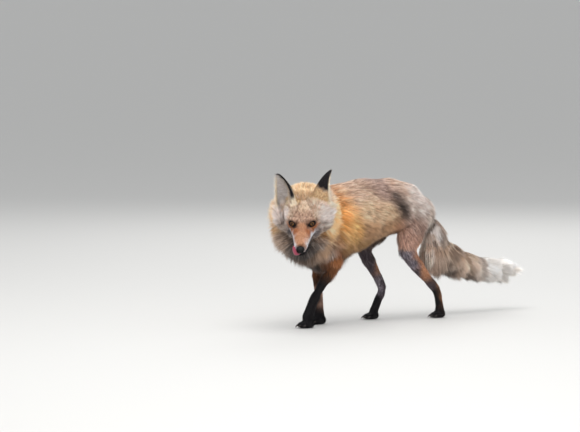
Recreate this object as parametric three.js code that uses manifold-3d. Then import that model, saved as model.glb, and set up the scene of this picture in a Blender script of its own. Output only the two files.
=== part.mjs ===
// Red fox in mid-stride, life size, its low head turned to the left.
// Millimetres. The fox faces -Y, its left is +X, and it stands on z = 0.
// The solids are the outline of the animal out to the tips of its coat.
import * as THREE from "three";
import { mergeVertices } from "three/addons/utils/BufferGeometryUtils.js";
import Module from "manifold-3d";

const wasm = await Module();
wasm.setup();

// ---- Driving dimensions -------------------------------------------------------------------
const GAP = 0.3; // between two pieces that meet
const FRONT = new THREE.Vector3(0, -1, 0);
const UP = new THREE.Vector3(0, 0, 1);

const HEAD_AT = [105, -301, 250]; // midway between the eyes
const HEAD_YAW = 45; // degrees to the left of straight ahead
const HEAD_PITCH = 30; // degrees nose down
const HEAD_ROLL = 0;

const EYE_RADIUS = 9.5;
const EYE_AT = [21.5, 1.5, 1]; // left eyeball's centre, in the head's frame

const EAR_LENGTH = 88;
const EAR_RADIUS = 25;
const EAR_WALL = 2.6;

const CLAW_LENGTH = 9;
const CLAW_DROP = 25; // degrees below level

// Coats are in sRGB.
const COAT = {
  grizzled: 0xad8f86,
  orange: 0xc08a52,
  pale: 0xcdbfb4,
  black: 0x1e1a1d,
  greyBrown: 0xa08d82,
  white: 0xe6e2df,
};

// ---- Solids -------------------------------------------------------------------------------
const point = ([x, y, z]) => new THREE.Vector3(x, y, z);
const toRad = THREE.MathUtils.degToRad;

function solidOf(geometry) {
  const bare = new THREE.BufferGeometry();
  bare.setAttribute("position", geometry.getAttribute("position"));
  bare.setIndex(geometry.index);
  const merged = mergeVertices(bare, 1e-4);
  return new wasm.Manifold(
    new wasm.Mesh({
      numProp: 3,
      vertProperties: new Float32Array(merged.attributes.position.array),
      triVerts: new Uint32Array(merged.index.array),
    }),
  );
}

function geometryOf(solid) {
  const mesh = solid.getMesh();
  const geometry = new THREE.BufferGeometry();
  const xyz = new Float32Array(mesh.numVert * 3);
  for (let i = 0; i < mesh.numVert; i++) {
    xyz.set(mesh.vertProperties.subarray(i * mesh.numProp, i * mesh.numProp + 3), i * 3);
  }
  geometry.setAttribute("position", new THREE.BufferAttribute(xyz, 3));
  geometry.setIndex(new THREE.BufferAttribute(new Uint32Array(mesh.triVerts), 1));
  geometry.computeVertexNormals();
  return geometry;
}

const joined = (solids) => solids.reduce((all, one) => all.add(one));
const placed = (solid, matrix) => solid.transform(matrix.elements);

// The value at place t of a smooth curve through values at places 0, 1, 2...
function along(values, t) {
  const last = values.length - 1;
  const i = Math.min(Math.floor(t), last - 1);
  const u = t - i;
  const [a, b, c, d] = [i - 1, i, i + 1, i + 2].map((k) => values[THREE.MathUtils.clamp(k, 0, last)]);
  const square = (2 * a - 5 * b + 4 * c - d) * u ** 2;
  const cube = (3 * b - a - 3 * c + d) * u ** 3;
  return 0.5 * (2 * b + (c - a) * u + square + cube);
}

// A closed body through oval rings. A station is { at, wide, above, below, square }: half the
// width across, how far it reaches to the up side and to the other side, and how boxy it is.
function loft(stations, { sides = 12, steps = 2, up = UP, caps = [8, 8], grow = 0 } = {}) {
  const last = stations.length - 1;
  const read = (key, t, fallback = 0) => along(stations.map((s) => s[key] ?? fallback), t);
  const centre = (t) => point([0, 1, 2].map((axis) => along(stations.map((s) => s.at[axis]), t)));
  const rings = [];
  for (let k = 0; k <= last * steps; k++) {
    const t = k / steps;
    const back = centre(Math.max(t - 0.2, 0));
    const tangent = centre(Math.min(t + 0.2, last)).sub(back).normalize();
    rings.push({ t, centre: centre(t), tangent, scale: 1 });
  }
  const dome = (ring, way, length) =>
    [0.55, 0.87].map((rise) => ({
      ...ring,
      centre: ring.centre.clone().addScaledVector(ring.tangent, way * (length + grow) * rise),
      scale: Math.sqrt(1 - rise ** 2),
    }));
  const first = rings[0];
  const end = rings[rings.length - 1];
  const all = [...dome(first, -1, caps[0]).reverse(), ...rings, ...dome(end, 1, caps[1])];

  const xyz = [];
  for (const { t, centre: middle, tangent, scale } of all) {
    const across = new THREE.Vector3().crossVectors(tangent, up).normalize();
    const high = new THREE.Vector3().crossVectors(across, tangent);
    const power = 2 / read("square", t, 2);
    for (let j = 0; j < sides; j++) {
      const angle = (2 * Math.PI * j) / sides;
      const [c, s] = [Math.cos(angle), Math.sin(angle)];
      const x = Math.sign(c) * Math.abs(c) ** power * (read("wide", t) + grow) * scale;
      const reach = (s > 0 ? read("above", t) : read("below", t)) + grow;
      const z = Math.sign(s) * Math.abs(s) ** power * reach * scale;
      xyz.push(...middle.clone().addScaledVector(across, x).addScaledVector(high, z).toArray());
    }
  }
  const poles = [first.centre.clone().addScaledVector(first.tangent, -caps[0] - grow)];
  poles.push(end.centre.clone().addScaledVector(end.tangent, caps[1] + grow));
  poles.forEach((pole) => xyz.push(...pole.toArray()));

  const faces = [];
  const at = (ring, j) => ring * sides + (j % sides);
  for (let j = 0; j < sides; j++) {
    for (let ring = 0; ring < all.length - 1; ring++) {
      faces.push(at(ring, j), at(ring, j + 1), at(ring + 1, j + 1));
      faces.push(at(ring, j), at(ring + 1, j + 1), at(ring + 1, j));
    }
    faces.push(all.length * sides, at(0, j + 1), at(0, j));
    faces.push(all.length * sides + 1, at(all.length - 1, j), at(all.length - 1, j + 1));
  }
  const geometry = new THREE.BufferGeometry();
  geometry.setAttribute("position", new THREE.Float32BufferAttribute(xyz, 3));
  geometry.setIndex(faces);
  const made = solidOf(geometry);
  if (made.volume() > 0) return made;
  geometry.setIndex(faces.reverse());
  return solidOf(geometry);
}

// An ellipsoid with three half sizes.
function ball(at, [x, y, z], [around, over] = [12, 8]) {
  const geometry = new THREE.SphereGeometry(1, around, over);
  geometry.scale(x, y, z).translate(...at);
  return solidOf(geometry);
}

// The part of a solid on the side of a plane that the normal points to, kept half a gap off it.
function beyond(solid, at, normal) {
  const n = normal.clone().normalize();
  return solid.trimByPlane(n.toArray(), n.dot(point(at)) + GAP / 2);
}

// Cuts a long solid at each joint, square to the way it runs there, into one piece for each name.
function parted(solid, names, cuts) {
  const pieces = {};
  let rest = solid;
  cuts.forEach(({ at, along: way }, k) => {
    pieces[names[k]] = beyond(rest, at, way.clone().negate());
    rest = beyond(rest, at, way);
  });
  pieces[names[names.length - 1]] = rest;
  return pieces;
}

// ---- Head, in its own frame: the middle of the eyes is the origin and the nose points to -Y ----
const headFrame = new THREE.Matrix4()
  .makeTranslation(...HEAD_AT)
  .multiply(new THREE.Matrix4().makeRotationZ(toRad(HEAD_YAW)))
  .multiply(new THREE.Matrix4().makeRotationX(toRad(HEAD_PITCH)))
  .multiply(new THREE.Matrix4().makeRotationY(toRad(HEAD_ROLL)));

// From the tip of the snout over the forehead to the nape.
const SKULL = [
  { at: [0, -75, -17.5], wide: 11.5, above: 9, below: 10 },
  { at: [0, -61, -17], wide: 15.5, above: 12, below: 15 },
  { at: [0, -42, -16], wide: 19, above: 14, below: 18 },
  { at: [0, -22, -14], wide: 22.5, above: 17, below: 24 },
  { at: [0, -4, -10], wide: 28.5, above: 20, below: 36 },
  { at: [0, 14, -4], wide: 38, above: 25, below: 44 },
  { at: [0, 34, 0], wide: 48, above: 32, below: 50 },
  { at: [0, 60, 4], wide: 54, above: 36, below: 55 },
  { at: [0, 84, 4], wide: 54, above: 40, below: 56 },
];
// The long fur of the cheeks and throat, swept back into the ruff.
const RUFF = [
  { at: [0, 8, -22], wide: 37, above: 16, below: 26 },
  { at: [0, 26, -22], wide: 54, above: 28, below: 44 },
  { at: [0, 46, -20], wide: 70, above: 40, below: 64 },
  { at: [0, 68, -16], wide: 80, above: 54, below: 80 },
  { at: [0, 92, -10], wide: 84, above: 66, below: 90 },
];
const JAW = [
  { at: [0, -65, -32], wide: 7.5, above: 4, below: 5 },
  { at: [0, -48, -35], wide: 11, above: 6, below: 8 },
  { at: [0, -24, -38], wide: 16, above: 8, below: 12 },
  { at: [0, 4, -41], wide: 21, above: 12, below: 17 },
  { at: [0, 32, -44], wide: 30, above: 20, below: 34 },
];

const headSolid = (grow) =>
  joined([
    loft(SKULL, { sides: 16, steps: 1, caps: [8, 26], grow }),
    loft(RUFF, { sides: 18, steps: 1, caps: [8, 22], grow }),
    loft(JAW, { sides: 10, steps: 1, caps: [6, 6], grow }),
  ]);

// ---- Body -----------------------------------------------------------------------------------
const TRUNK = [
  { at: [4, -222, 212], wide: 50, above: 60, below: 70 },
  { at: [2, -190, 228], wide: 66, above: 84, below: 86 },
  { at: [0, -145, 240], wide: 76, above: 93, below: 90 },
  { at: [0, -85, 248], wide: 80, above: 92, below: 80 },
  { at: [0, -20, 260], wide: 74, above: 86, below: 71 },
  { at: [0, 42, 268], wide: 66, above: 77, below: 59 },
  { at: [0, 98, 266], wide: 63, above: 68, below: 60 },
  { at: [0, 140, 256], wide: 56, above: 52, below: 52 },
  { at: [0, 166, 246], wide: 42, above: 38, below: 38 },
];
const NECK = [
  { at: [-2, -158, 254], wide: 64, above: 82, below: 92 },
  { at: [14, -212, 253], wide: 78, above: 92, below: 100 },
  { at: [46, -250, 262], wide: 79, above: 88, below: 98 },
];
const TAIL = [
  { at: [0, 160, 262], wide: 32, above: 22, below: 28 },
  { at: [0, 190, 230], wide: 38, above: 24, below: 40 },
  { at: [0, 222, 180], wide: 41, above: 30, below: 52 },
  { at: [0, 268, 142], wide: 41, above: 34, below: 46 },
  { at: [0, 330, 120], wide: 38, above: 33, below: 40 },
  { at: [0, 385, 108], wide: 34, above: 32, below: 36 },
  { at: [0, 424, 103], wide: 28, above: 26, below: 28 },
  { at: [0, 452, 102], wide: 18, above: 17, below: 18 },
];
const trunkSolid = (grow) => loft(TRUNK, { sides: 18, steps: 1, caps: [22, 18], grow });
const neckSolid = (grow) => loft(NECK, { sides: 16, steps: 1, caps: [20, 34], grow });

// ---- Legs -----------------------------------------------------------------------------------
const paw = (centre, turn, size) => ({ centre, turn, size });
const LEGS = {
  fore_left: {
    names: ["upper_arm_left", "forearm_left", "forepaw_left"],
    cuts: [1.9, 4],
    stations: [
      { at: [46, -176, 222], wide: 20, above: 34, below: 34 },
      { at: [47, -166, 182], wide: 22, above: 28, below: 26 },
      { at: [47, -152, 150], wide: 18, above: 20, below: 20 },
      { at: [40, -181, 108], wide: 13, above: 13, below: 14 },
      { at: [32, -206, 62], wide: 12, above: 14, below: 13 },
      { at: [27, -219, 22], wide: 14.5, above: 15, below: 15 },
    ],
    paw: paw([26, -219, 0], 4, 1),
  },
  fore_right: {
    names: ["upper_arm_right", "forearm_right", "forepaw_right"],
    cuts: [1.9, 4],
    stations: [
      { at: [-46, -160, 220], wide: 20, above: 34, below: 34 },
      { at: [-47, -144, 180], wide: 22, above: 28, below: 26 },
      { at: [-46, -128, 148], wide: 18, above: 20, below: 20 },
      { at: [-38, -133, 104], wide: 13, above: 13, below: 14 },
      { at: [-30, -136, 58], wide: 11.5, above: 12, below: 12 },
      { at: [-27, -138, 20], wide: 14, above: 13, below: 14 },
    ],
    paw: paw([-26, -140, 0], -4, 1),
  },
  hind_left: {
    names: ["thigh_left", "shank_left", "hock_left", "hindpaw_left"],
    cuts: [1.6, 3.8, 5.4],
    stations: [
      { at: [30, 112, 252], wide: 24, above: 44, below: 44 },
      { at: [42, 87, 206], wide: 26, above: 38, below: 40 },
      { at: [46, 76, 170], wide: 20, above: 26, below: 30 },
      { at: [44, 122, 118], wide: 13, above: 16, below: 18 },
      { at: [42, 172, 72], wide: 11, above: 12, below: 14 },
      { at: [41, 184, 44], wide: 10, above: 11, below: 11 },
      { at: [40, 190, 18], wide: 12, above: 12, below: 11 },
    ],
    paw: paw([40, 186, 0], 0, 0.92),
  },
  hind_right: {
    names: ["thigh_right", "shank_right", "hock_right", "hindpaw_right"],
    cuts: [1.6, 3.8, 5.4],
    stations: [
      { at: [-30, 92, 250], wide: 24, above: 44, below: 34 },
      { at: [-43, 47, 206], wide: 26, above: 38, below: 28 },
      { at: [-50, 22, 178], wide: 20, above: 28, below: 28 },
      { at: [-46, 44, 128], wide: 13, above: 16, below: 18 },
      { at: [-42, 74, 76], wide: 11, above: 12, below: 14 },
      { at: [-40, 62, 48], wide: 10, above: 12, below: 12 },
      { at: [-39, 46, 18], wide: 12, above: 12, below: 11 },
    ],
    paw: paw([-38, 40, 0], 0, 0.92),
  },
};

// A paw with its four toes and their claws, flat on the floor.
function pawSolid({ centre, turn, size }) {
  const toes = [-1.5, -0.5, 0.5, 1.5].map((k) => {
    const reach = Math.abs(k) > 1 ? -9 : -17;
    const toe = [k * 8.2 * size, reach * size, 8 * size];
    const claw = new THREE.CylinderGeometry(0.5, 2, CLAW_LENGTH, 5);
    claw.rotateX(toRad(180 + CLAW_DROP)).translate(k * 8.6 * size, (reach - 12) * size, 6.5 * size);
    return ball(toe, [6.6 * size, 12 * size, 9 * size], [8, 4]).add(solidOf(claw));
  });
  const sole = ball([0, 3 * size, 9 * size], [15 * size, 19 * size, 12 * size], [8, 6]);
  const standing = new THREE.Matrix4()
    .makeTranslation(...centre)
    .multiply(new THREE.Matrix4().makeRotationZ(toRad(turn)));
  return placed(joined([sole, ...toes]), standing).trimByPlane([0, 0, 1], 0);
}

function legSolids({ names, stations, cuts, paw: foot }) {
  const limb = loft(stations, { sides: 10, up: FRONT, caps: [20, 6] });
  const standing = joined([limb.trimByPlane([0, 0, 1], 0), pawSolid(foot)]);
  const whole = standing.subtract(trunkSolid(GAP)).subtract(neckSolid(GAP));
  const place = (t) => [0, 1, 2].map((axis) => along(stations.map((s) => s.at[axis]), t));
  const joints = cuts.map((t) => ({
    at: place(t),
    along: point(place(t + 0.3)).sub(point(place(t - 0.3))),
  }));
  return parted(whole, names, joints);
}

// ---- Ears, eyes, nose and tongue, in the head's frame ------------------------------------------
// An ear is a thin cone, open in front, that narrows to a point. It is built upright with its
// opening to -Y, then turned and leant.
function earSolid() {
  const [rows, columns] = [7, 8];
  const skin = (inset) => {
    const points = [];
    for (let r = 0; r <= rows; r++) {
      const rise = r / rows;
      const radius = EAR_RADIUS * (1 - rise) ** 0.6 * (1 + 0.3 * rise) + 0.8;
      const wrap = toRad(132 - 70 * rise);
      for (let c = 0; c <= columns; c++) {
        const turn = wrap * ((2 * c) / columns - 1);
        const reach = Math.max(radius - inset, 0.1);
        const depth = reach * Math.cos(turn) - radius * 0.2;
        points.push([reach * Math.sin(turn), depth, EAR_LENGTH * rise - (r === rows ? inset * 1.5 : 0)]);
      }
    }
    return points;
  };
  const width = columns + 1;
  const outer = skin(0);
  const inner = skin(EAR_WALL);
  const faces = [];
  const quad = (a, b, c, d) => faces.push(a, b, c, a, c, d);
  const far = outer.length;
  for (let r = 0; r < rows; r++) {
    for (let c = 0; c < columns; c++) {
      const i = r * width + c;
      quad(i, i + 1, i + 1 + width, i + width);
      quad(far + i, far + i + width, far + i + 1 + width, far + i + 1);
    }
    for (const [c, flip] of [[0, false], [columns, true]]) {
      const i = r * width + c;
      if (flip) quad(i, far + i, far + i + width, i + width);
      else quad(i, i + width, far + i + width, far + i);
    }
  }
  for (let c = 0; c < columns; c++) {
    quad(c, far + c, far + c + 1, c + 1);
    const i = rows * width + c;
    quad(i, i + 1, far + i + 1, far + i);
  }
  const geometry = new THREE.BufferGeometry();
  geometry.setAttribute("position", new THREE.Float32BufferAttribute([...outer, ...inner].flat(), 3));
  geometry.setIndex(faces);
  const made = solidOf(geometry);
  if (made.volume() > 0) return made;
  geometry.setIndex(faces.reverse());
  return solidOf(geometry);
}
// Where each ear's base is, how far it turns to its own side, and how far it leans out and back.
const EARS = {
  left: { at: [40, 50, 24], turn: 105, lean: 19, back: 17 },
  right: { at: [-36, 46, 14], turn: -22, lean: -17, back: 18 },
};
const earPlace = ({ at, turn, lean, back }) =>
  new THREE.Matrix4()
    .makeTranslation(...at)
    .multiply(new THREE.Matrix4().makeRotationY(toRad(lean)))
    .multiply(new THREE.Matrix4().makeRotationX(toRad(-back)))
    .multiply(new THREE.Matrix4().makeRotationZ(toRad(turn)));

const NOSE = [
  { at: [0, -83, -15.5], wide: 8, above: 6, below: 6.5, square: 2.4 },
  { at: [0, -78, -16], wide: 9.6, above: 7.5, below: 8, square: 2.4 },
  { at: [0, -72, -16.5], wide: 9, above: 7.5, below: 8 },
];
const TONGUE = [
  { at: [0, -64, -28], wide: 8, above: 1.6, below: 1.6 },
  { at: [-3, -78, -29], wide: 8, above: 1.6, below: 1.6 },
  { at: [-9, -85.5, -24], wide: 7.5, above: 1.6, below: 1.6 },
  { at: [-13.5, -83, -14], wide: 6.5, above: 1.6, below: 1.6 },
  { at: [-15, -78, -6], wide: 4.5, above: 1.4, below: 1.4 },
];

// ---- Assembly --------------------------------------------------------------------------------
const fox = new THREE.Group();
const head = new THREE.Group();
head.applyMatrix4(headFrame);
fox.add(head);

function add(name, solid, colour, roughness, group = fox) {
  const material = new THREE.MeshStandardMaterial({ color: colour, roughness, metalness: 0 });
  const mesh = new THREE.Mesh(geometryOf(solid), material);
  mesh.name = name;
  group.add(mesh);
}

const headToBody = (solid) => placed(solid, headFrame);

const eyeball = (at, grow) => ball(at, [1, 1, 1].map(() => EYE_RADIUS + grow), [12, 6]);
const eyes = [1, -1].map((side) => [side * EYE_AT[0], EYE_AT[1], EYE_AT[2]]);
const sockets = joined(eyes.map((at) => eyeball(at, GAP)));
const nose = loft(NOSE, { sides: 10, steps: 1, caps: [3, 3] });
const noseRoom = loft(NOSE, { sides: 10, steps: 1, caps: [3, 3], grow: GAP });
const tongueWay = { sides: 8, steps: 1, caps: [3, 3], up: new THREE.Vector3(0, -0.7, -0.7) };
const tongue = loft(TONGUE, tongueWay);
const tongueRoom = loft(TONGUE, { ...tongueWay, grow: GAP });
const skull = headSolid(0).subtract(sockets).subtract(noseRoom).subtract(tongueRoom);
add("head", skull, COAT.pale, 0.9, head);
add("eye_left", eyeball(eyes[0], 0), 0xa8791e, 0.1, head);
add("eye_right", eyeball(eyes[1], 0), 0xa8791e, 0.1, head);
add("nose", nose, COAT.black, 0.4, head);
add("tongue", tongue.subtract(noseRoom), 0xc05070, 0.4, head);
for (const [side, ear] of Object.entries(EARS)) {
  const shell = placed(earSolid(), earPlace(ear)).subtract(headSolid(GAP));
  add("ear_" + side, shell.decompose().sort((a, b) => b.volume() - a.volume())[0], COAT.black, 0.9, head);
}

const headRoom = headToBody(headSolid(GAP));
const trunk = trunkSolid(0).subtract(headRoom);
const trunkPieces = parted(trunk, ["chest", "loin", "rump"], [
  { at: [0, -52, 0], along: new THREE.Vector3(0, 1, 0) },
  { at: [0, 62, 0], along: new THREE.Vector3(0, 1, 0) },
]);
add("chest", trunkPieces.chest, COAT.orange, 0.9);
add("loin", trunkPieces.loin, COAT.grizzled, 0.9);
add("rump", trunkPieces.rump, COAT.pale, 0.9);
const neck = neckSolid(0).subtract(headRoom).subtract(trunkSolid(GAP));
add("neck", neck.decompose().sort((a, b) => b.volume() - a.volume())[0], COAT.orange, 0.9);

const tailWay = { sides: 14, steps: 1, up: new THREE.Vector3(0, 0.6, 0.8), caps: [6, 36] };
const tail = loft(TAIL, tailWay).subtract(trunkSolid(GAP));
const tailPlace = (t) => [0, 1, 2].map((axis) => along(TAIL.map((s) => s.at[axis]), t));
const tailCut = (t) => ({
  at: tailPlace(t),
  along: point(tailPlace(t + 0.3)).sub(point(tailPlace(t - 0.3))),
});
const tailPieces = parted(tail, ["tail_root", "tail_middle", "tail_tip"], [tailCut(2.2), tailCut(4.4)]);
for (const [name, solid] of Object.entries(tailPieces)) {
  add(name, solid, name === "tail_tip" ? COAT.white : COAT.greyBrown, 0.95);
}

for (const leg of Object.values(LEGS)) {
  for (const [name, solid] of Object.entries(legSolids(leg))) {
    const biggest = solid.decompose().sort((a, b) => b.volume() - a.volume())[0];
    add(name, biggest, name.includes("paw") ? COAT.black : COAT.orange, 0.9);
  }
}

// The origin is below the middle of the whole animal, on the floor.
const bounds = new THREE.Box3().setFromObject(fox, true);
const middle = bounds.getCenter(new THREE.Vector3());
fox.position.set(-middle.x, -middle.y, 0);

export default fox;
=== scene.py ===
"""A life-size red fox in mid-stride: one skin, its coat in mesh tufts, and its eyes, nose and claws."""

import logging
import math
from dataclasses import dataclass, field, replace
from enum import Enum
from typing import Any, Iterable, Sequence, TypeVar

import bpy
import numpy as np
import openvdb
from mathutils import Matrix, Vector, kdtree


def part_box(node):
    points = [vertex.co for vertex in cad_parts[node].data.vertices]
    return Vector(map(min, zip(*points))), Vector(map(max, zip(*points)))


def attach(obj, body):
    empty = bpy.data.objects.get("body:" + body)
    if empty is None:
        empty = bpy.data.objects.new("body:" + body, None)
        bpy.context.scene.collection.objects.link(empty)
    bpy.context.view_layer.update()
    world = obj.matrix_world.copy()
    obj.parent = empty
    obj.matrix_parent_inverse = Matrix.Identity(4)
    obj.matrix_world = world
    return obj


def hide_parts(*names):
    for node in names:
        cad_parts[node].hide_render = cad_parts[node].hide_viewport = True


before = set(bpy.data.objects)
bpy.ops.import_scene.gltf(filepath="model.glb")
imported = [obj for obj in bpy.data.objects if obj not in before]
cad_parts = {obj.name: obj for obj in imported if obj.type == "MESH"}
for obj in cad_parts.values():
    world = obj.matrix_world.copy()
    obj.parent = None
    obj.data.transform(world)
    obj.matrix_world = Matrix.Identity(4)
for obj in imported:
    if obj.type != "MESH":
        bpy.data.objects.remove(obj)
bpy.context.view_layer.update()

log = logging.getLogger("fox")
Array = np.ndarray
Point = tuple[float, float, float]
Colour = tuple[float, float, float]

MM = 0.001
CHUNK = 60000  # places measured at one time, which bounds the memory
TINT = "tint"  # the colour layer of every mesh
TONES, SHARES = ("deep", "body", "tip"), ("pale", "dark")  # what a pelt holds
FRONT, UP = np.array([0.0, -1.0, 0.0]), np.array([0.0, 0.0, 1.0])


# ---- Numbers and frames --------------------------------------------------------------------------


def unit(vectors: Array) -> Array:
    """Vectors with a length of one, along their last axis."""
    length = np.linalg.norm(vectors, axis=-1, keepdims=True)
    return vectors / np.maximum(length, 1e-9)


def smooth(low: float, high: float, values: Array) -> Array:
    """A smooth step from 0 at low to 1 at high; high may be the smaller."""
    t = np.clip((values - low) / (high - low), 0.0, 1.0)
    return t * t * (3.0 - 2.0 * t)


def turn(axis: str, degrees: float) -> Array:
    """A 3 x 3 rotation about the x, y or z axis."""
    c, s = math.cos(math.radians(degrees)), math.sin(math.radians(degrees))
    i, j = {"x": (1, 2), "y": (2, 0), "z": (0, 1)}[axis]
    matrix = np.eye(3)
    matrix[i, i] = matrix[j, j] = c
    matrix[i, j], matrix[j, i] = -s, s
    return matrix


def between(first: Any, second: Any, share: Any) -> Array:
    """From first at a share of 0 to second at a share of 1."""
    return first * (1 - share) + second * share


def circle(count: int) -> Array:
    """Angles once round a circle, in radians."""
    return np.linspace(0, 2 * math.pi, count, endpoint=False)


def resampled(values: Sequence[float], rows: int) -> Array:
    """Values read off at even steps from the first to the last."""
    return np.interp(np.linspace(0, len(values) - 1, rows), np.arange(len(values)), values)


def eased(path: Sequence[Point], rows: int, rounds: int) -> Array:
    """A line of points along a path, whose corners each round softens."""
    line = np.stack([resampled(axis, rows) for axis in np.array(path, float).T], 1)
    for _ in range(rounds):
        line[1:-1] = 0.25 * line[:-2] + 0.5 * line[1:-1] + 0.25 * line[2:]
    return line


def ripple(points: Array, size: float, seed: float) -> Array:
    """Smooth noise from -1 to 1 at points in millimetres, with features of about the size given."""
    total = np.zeros(len(points))
    for k in range(5):
        way = unit(np.array([math.sin(3.1 * k + seed), math.cos(5.7 * k + seed), math.sin(1.9 * k + 2.0 * seed)]))
        total += np.sin(points @ way * (2.0 + 0.9 * k) / size + 4.3 * k + seed)
    return total / 5.0


def srgb(colour: Sequence[float]) -> Array:
    """A colour given in 0-255 steps, as linear light."""
    c = np.asarray(colour, float) / 255.0
    return np.where(c <= 0.04045, c / 12.92, ((c + 0.055) / 1.055) ** 2.4)


def ring_faces(rows: int, columns: int, closed: bool = True) -> Array:
    """Triangles between rows of points, each row closed into a ring or left open."""
    span = columns if closed else columns - 1
    row, column = np.meshgrid(np.arange(rows - 1), np.arange(span), indexing="ij")
    a = row * columns + column
    b = row * columns + (column + 1) % columns
    quads = np.stack([a, b, b + columns, a + columns], -1).reshape(-1, 4)
    return np.concatenate([quads[:, [0, 1, 2]], quads[:, [0, 2, 3]]])


def joined(meshes: Iterable[tuple[Array, Array]]) -> tuple[Array, Array]:
    """Several meshes as one: all their points, and all their faces."""
    points, faces, count = [], [], 0
    for some_points, some_faces in meshes:
        points.append(some_points)
        faces.append(some_faces + count)
        count += len(some_points)
    return np.concatenate(points), np.concatenate(faces)


def ball_grid(rows: int, columns: int) -> Array:
    """Directions over a whole ball, pole to pole along -Y, as rows of points."""
    theta = np.linspace(0.001, math.pi - 0.001, rows)
    t, p = np.meshgrid(theta, circle(columns), indexing="ij")
    return np.stack([np.sin(t) * np.cos(p), -np.cos(t), np.sin(t) * np.sin(p)], -1).reshape(-1, 3)


class Part(Enum):
    """The coat's pieces."""

    FACE = "face"
    RUFF = "ruff"
    EARS = "ears"
    NECK = "neck"
    CHEST = "chest"
    LOIN = "loin"
    RUMP = "rump"
    TAIL = "tail"
    FORELEGS = "forelegs"
    HINDLEGS = "hindlegs"

    @property
    def rank(self) -> int:
        """The part's place among the parts."""
        return list(Part).index(self)


class Home(Enum):
    """The frames that places on the fox are given in, all in millimetres."""

    BODY = "body"
    HEAD = "head"
    EAR_LEFT = "ear_left"
    EAR_RIGHT = "ear_right"


@dataclass
class Anatomy:
    """Where the head, its ears and the body lie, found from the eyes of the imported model."""

    head_at: Point = (105.0, -301.0, 250.0)
    yaw: float = 45.0
    pitch: float = 30.0
    eye_at: Point = (21.5, 1.5, 1.0)
    eye_radius: float = 9.5
    ear_left: tuple[Point, float, float, float] = ((40.0, 50.0, 24.0), 105.0, 19.0, 17.0)
    ear_right: tuple[Point, float, float, float] = ((-36.0, 46.0, 14.0), -22.0, -17.0, 18.0)
    frames: dict[Home, tuple[Array, Array]] = field(default_factory=dict)

    def settle(self) -> None:
        """Works out each frame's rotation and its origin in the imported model."""
        centres = [sum(map(np.array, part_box("eye_" + side))) / 2 / MM for side in ("left", "right")]
        head = turn("z", self.yaw) @ turn("x", self.pitch)
        middle = (centres[0] + centres[1]) / 2 - head @ np.array([0.0, *self.eye_at[1:]])
        body = middle - np.array(self.head_at)
        self.frames[Home.BODY] = (np.eye(3), body)
        self.frames[Home.HEAD] = (head, middle)
        for home, (at, spin, lean, back) in ((Home.EAR_LEFT, self.ear_left), (Home.EAR_RIGHT, self.ear_right)):
            rotation = head @ turn("y", lean) @ turn("x", -back) @ turn("z", spin)
            self.frames[home] = (rotation, middle + head @ np.array(at))

    def out(self, home: Home, points: Array) -> Array:
        """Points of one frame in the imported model's millimetres."""
        rotation, origin = self.frames[home]
        return np.asarray(points, float) @ rotation.T + origin

    def back(self, home: Home, points: Array) -> Array:
        """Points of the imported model, in millimetres, in one frame."""
        rotation, origin = self.frames[home]
        return (np.asarray(points, float) - origin) @ rotation

    def way(self, home: Home, ways: Array) -> Array:
        """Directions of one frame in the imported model."""
        return np.asarray(ways, float) @ self.frames[home][0].T


FOX = Anatomy()
FOX.settle()


# ---- The lie of the coat -------------------------------------------------------------------------


@dataclass(frozen=True)
class Guide:
    """How the coat lies near one place: its way, and its tufts' length, width and lift in degrees."""

    part: Part
    home: Home
    at: Point
    lie: Point
    length: float
    width: float
    lift: float
    reach: float = 1.0
    past: float = 0.0

    @property
    def depth(self) -> float:
        """How far the skin lies below the solids' surface: the tips' rise, less what goes past it."""
        return max(1.15 * self.length * math.sin(math.radians(self.lift)) - self.past, 1.0)


Station = TypeVar("Station", "Guide", "Dye")


def lay(part: Part, home: Home, *rows: tuple) -> list[Guide]:
    """Guides for one part in one frame, from the rest of their values."""
    return [Guide(part, home, *row) for row in rows]


def mirrored(station: Station) -> Station:
    """The same guide or dye on the other side of its frame's x = 0."""
    x, y, z = station.at
    changes = {"at": (-x, y, z)}
    if isinstance(station, Guide):
        changes["lie"] = (-station.lie[0], *station.lie[1:])
    return replace(station, **changes)


def both(*stations: Station) -> list[Station]:
    """Each guide or dye, and its mirror image."""
    return [side for station in stations for side in (station, mirrored(station))]


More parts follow.
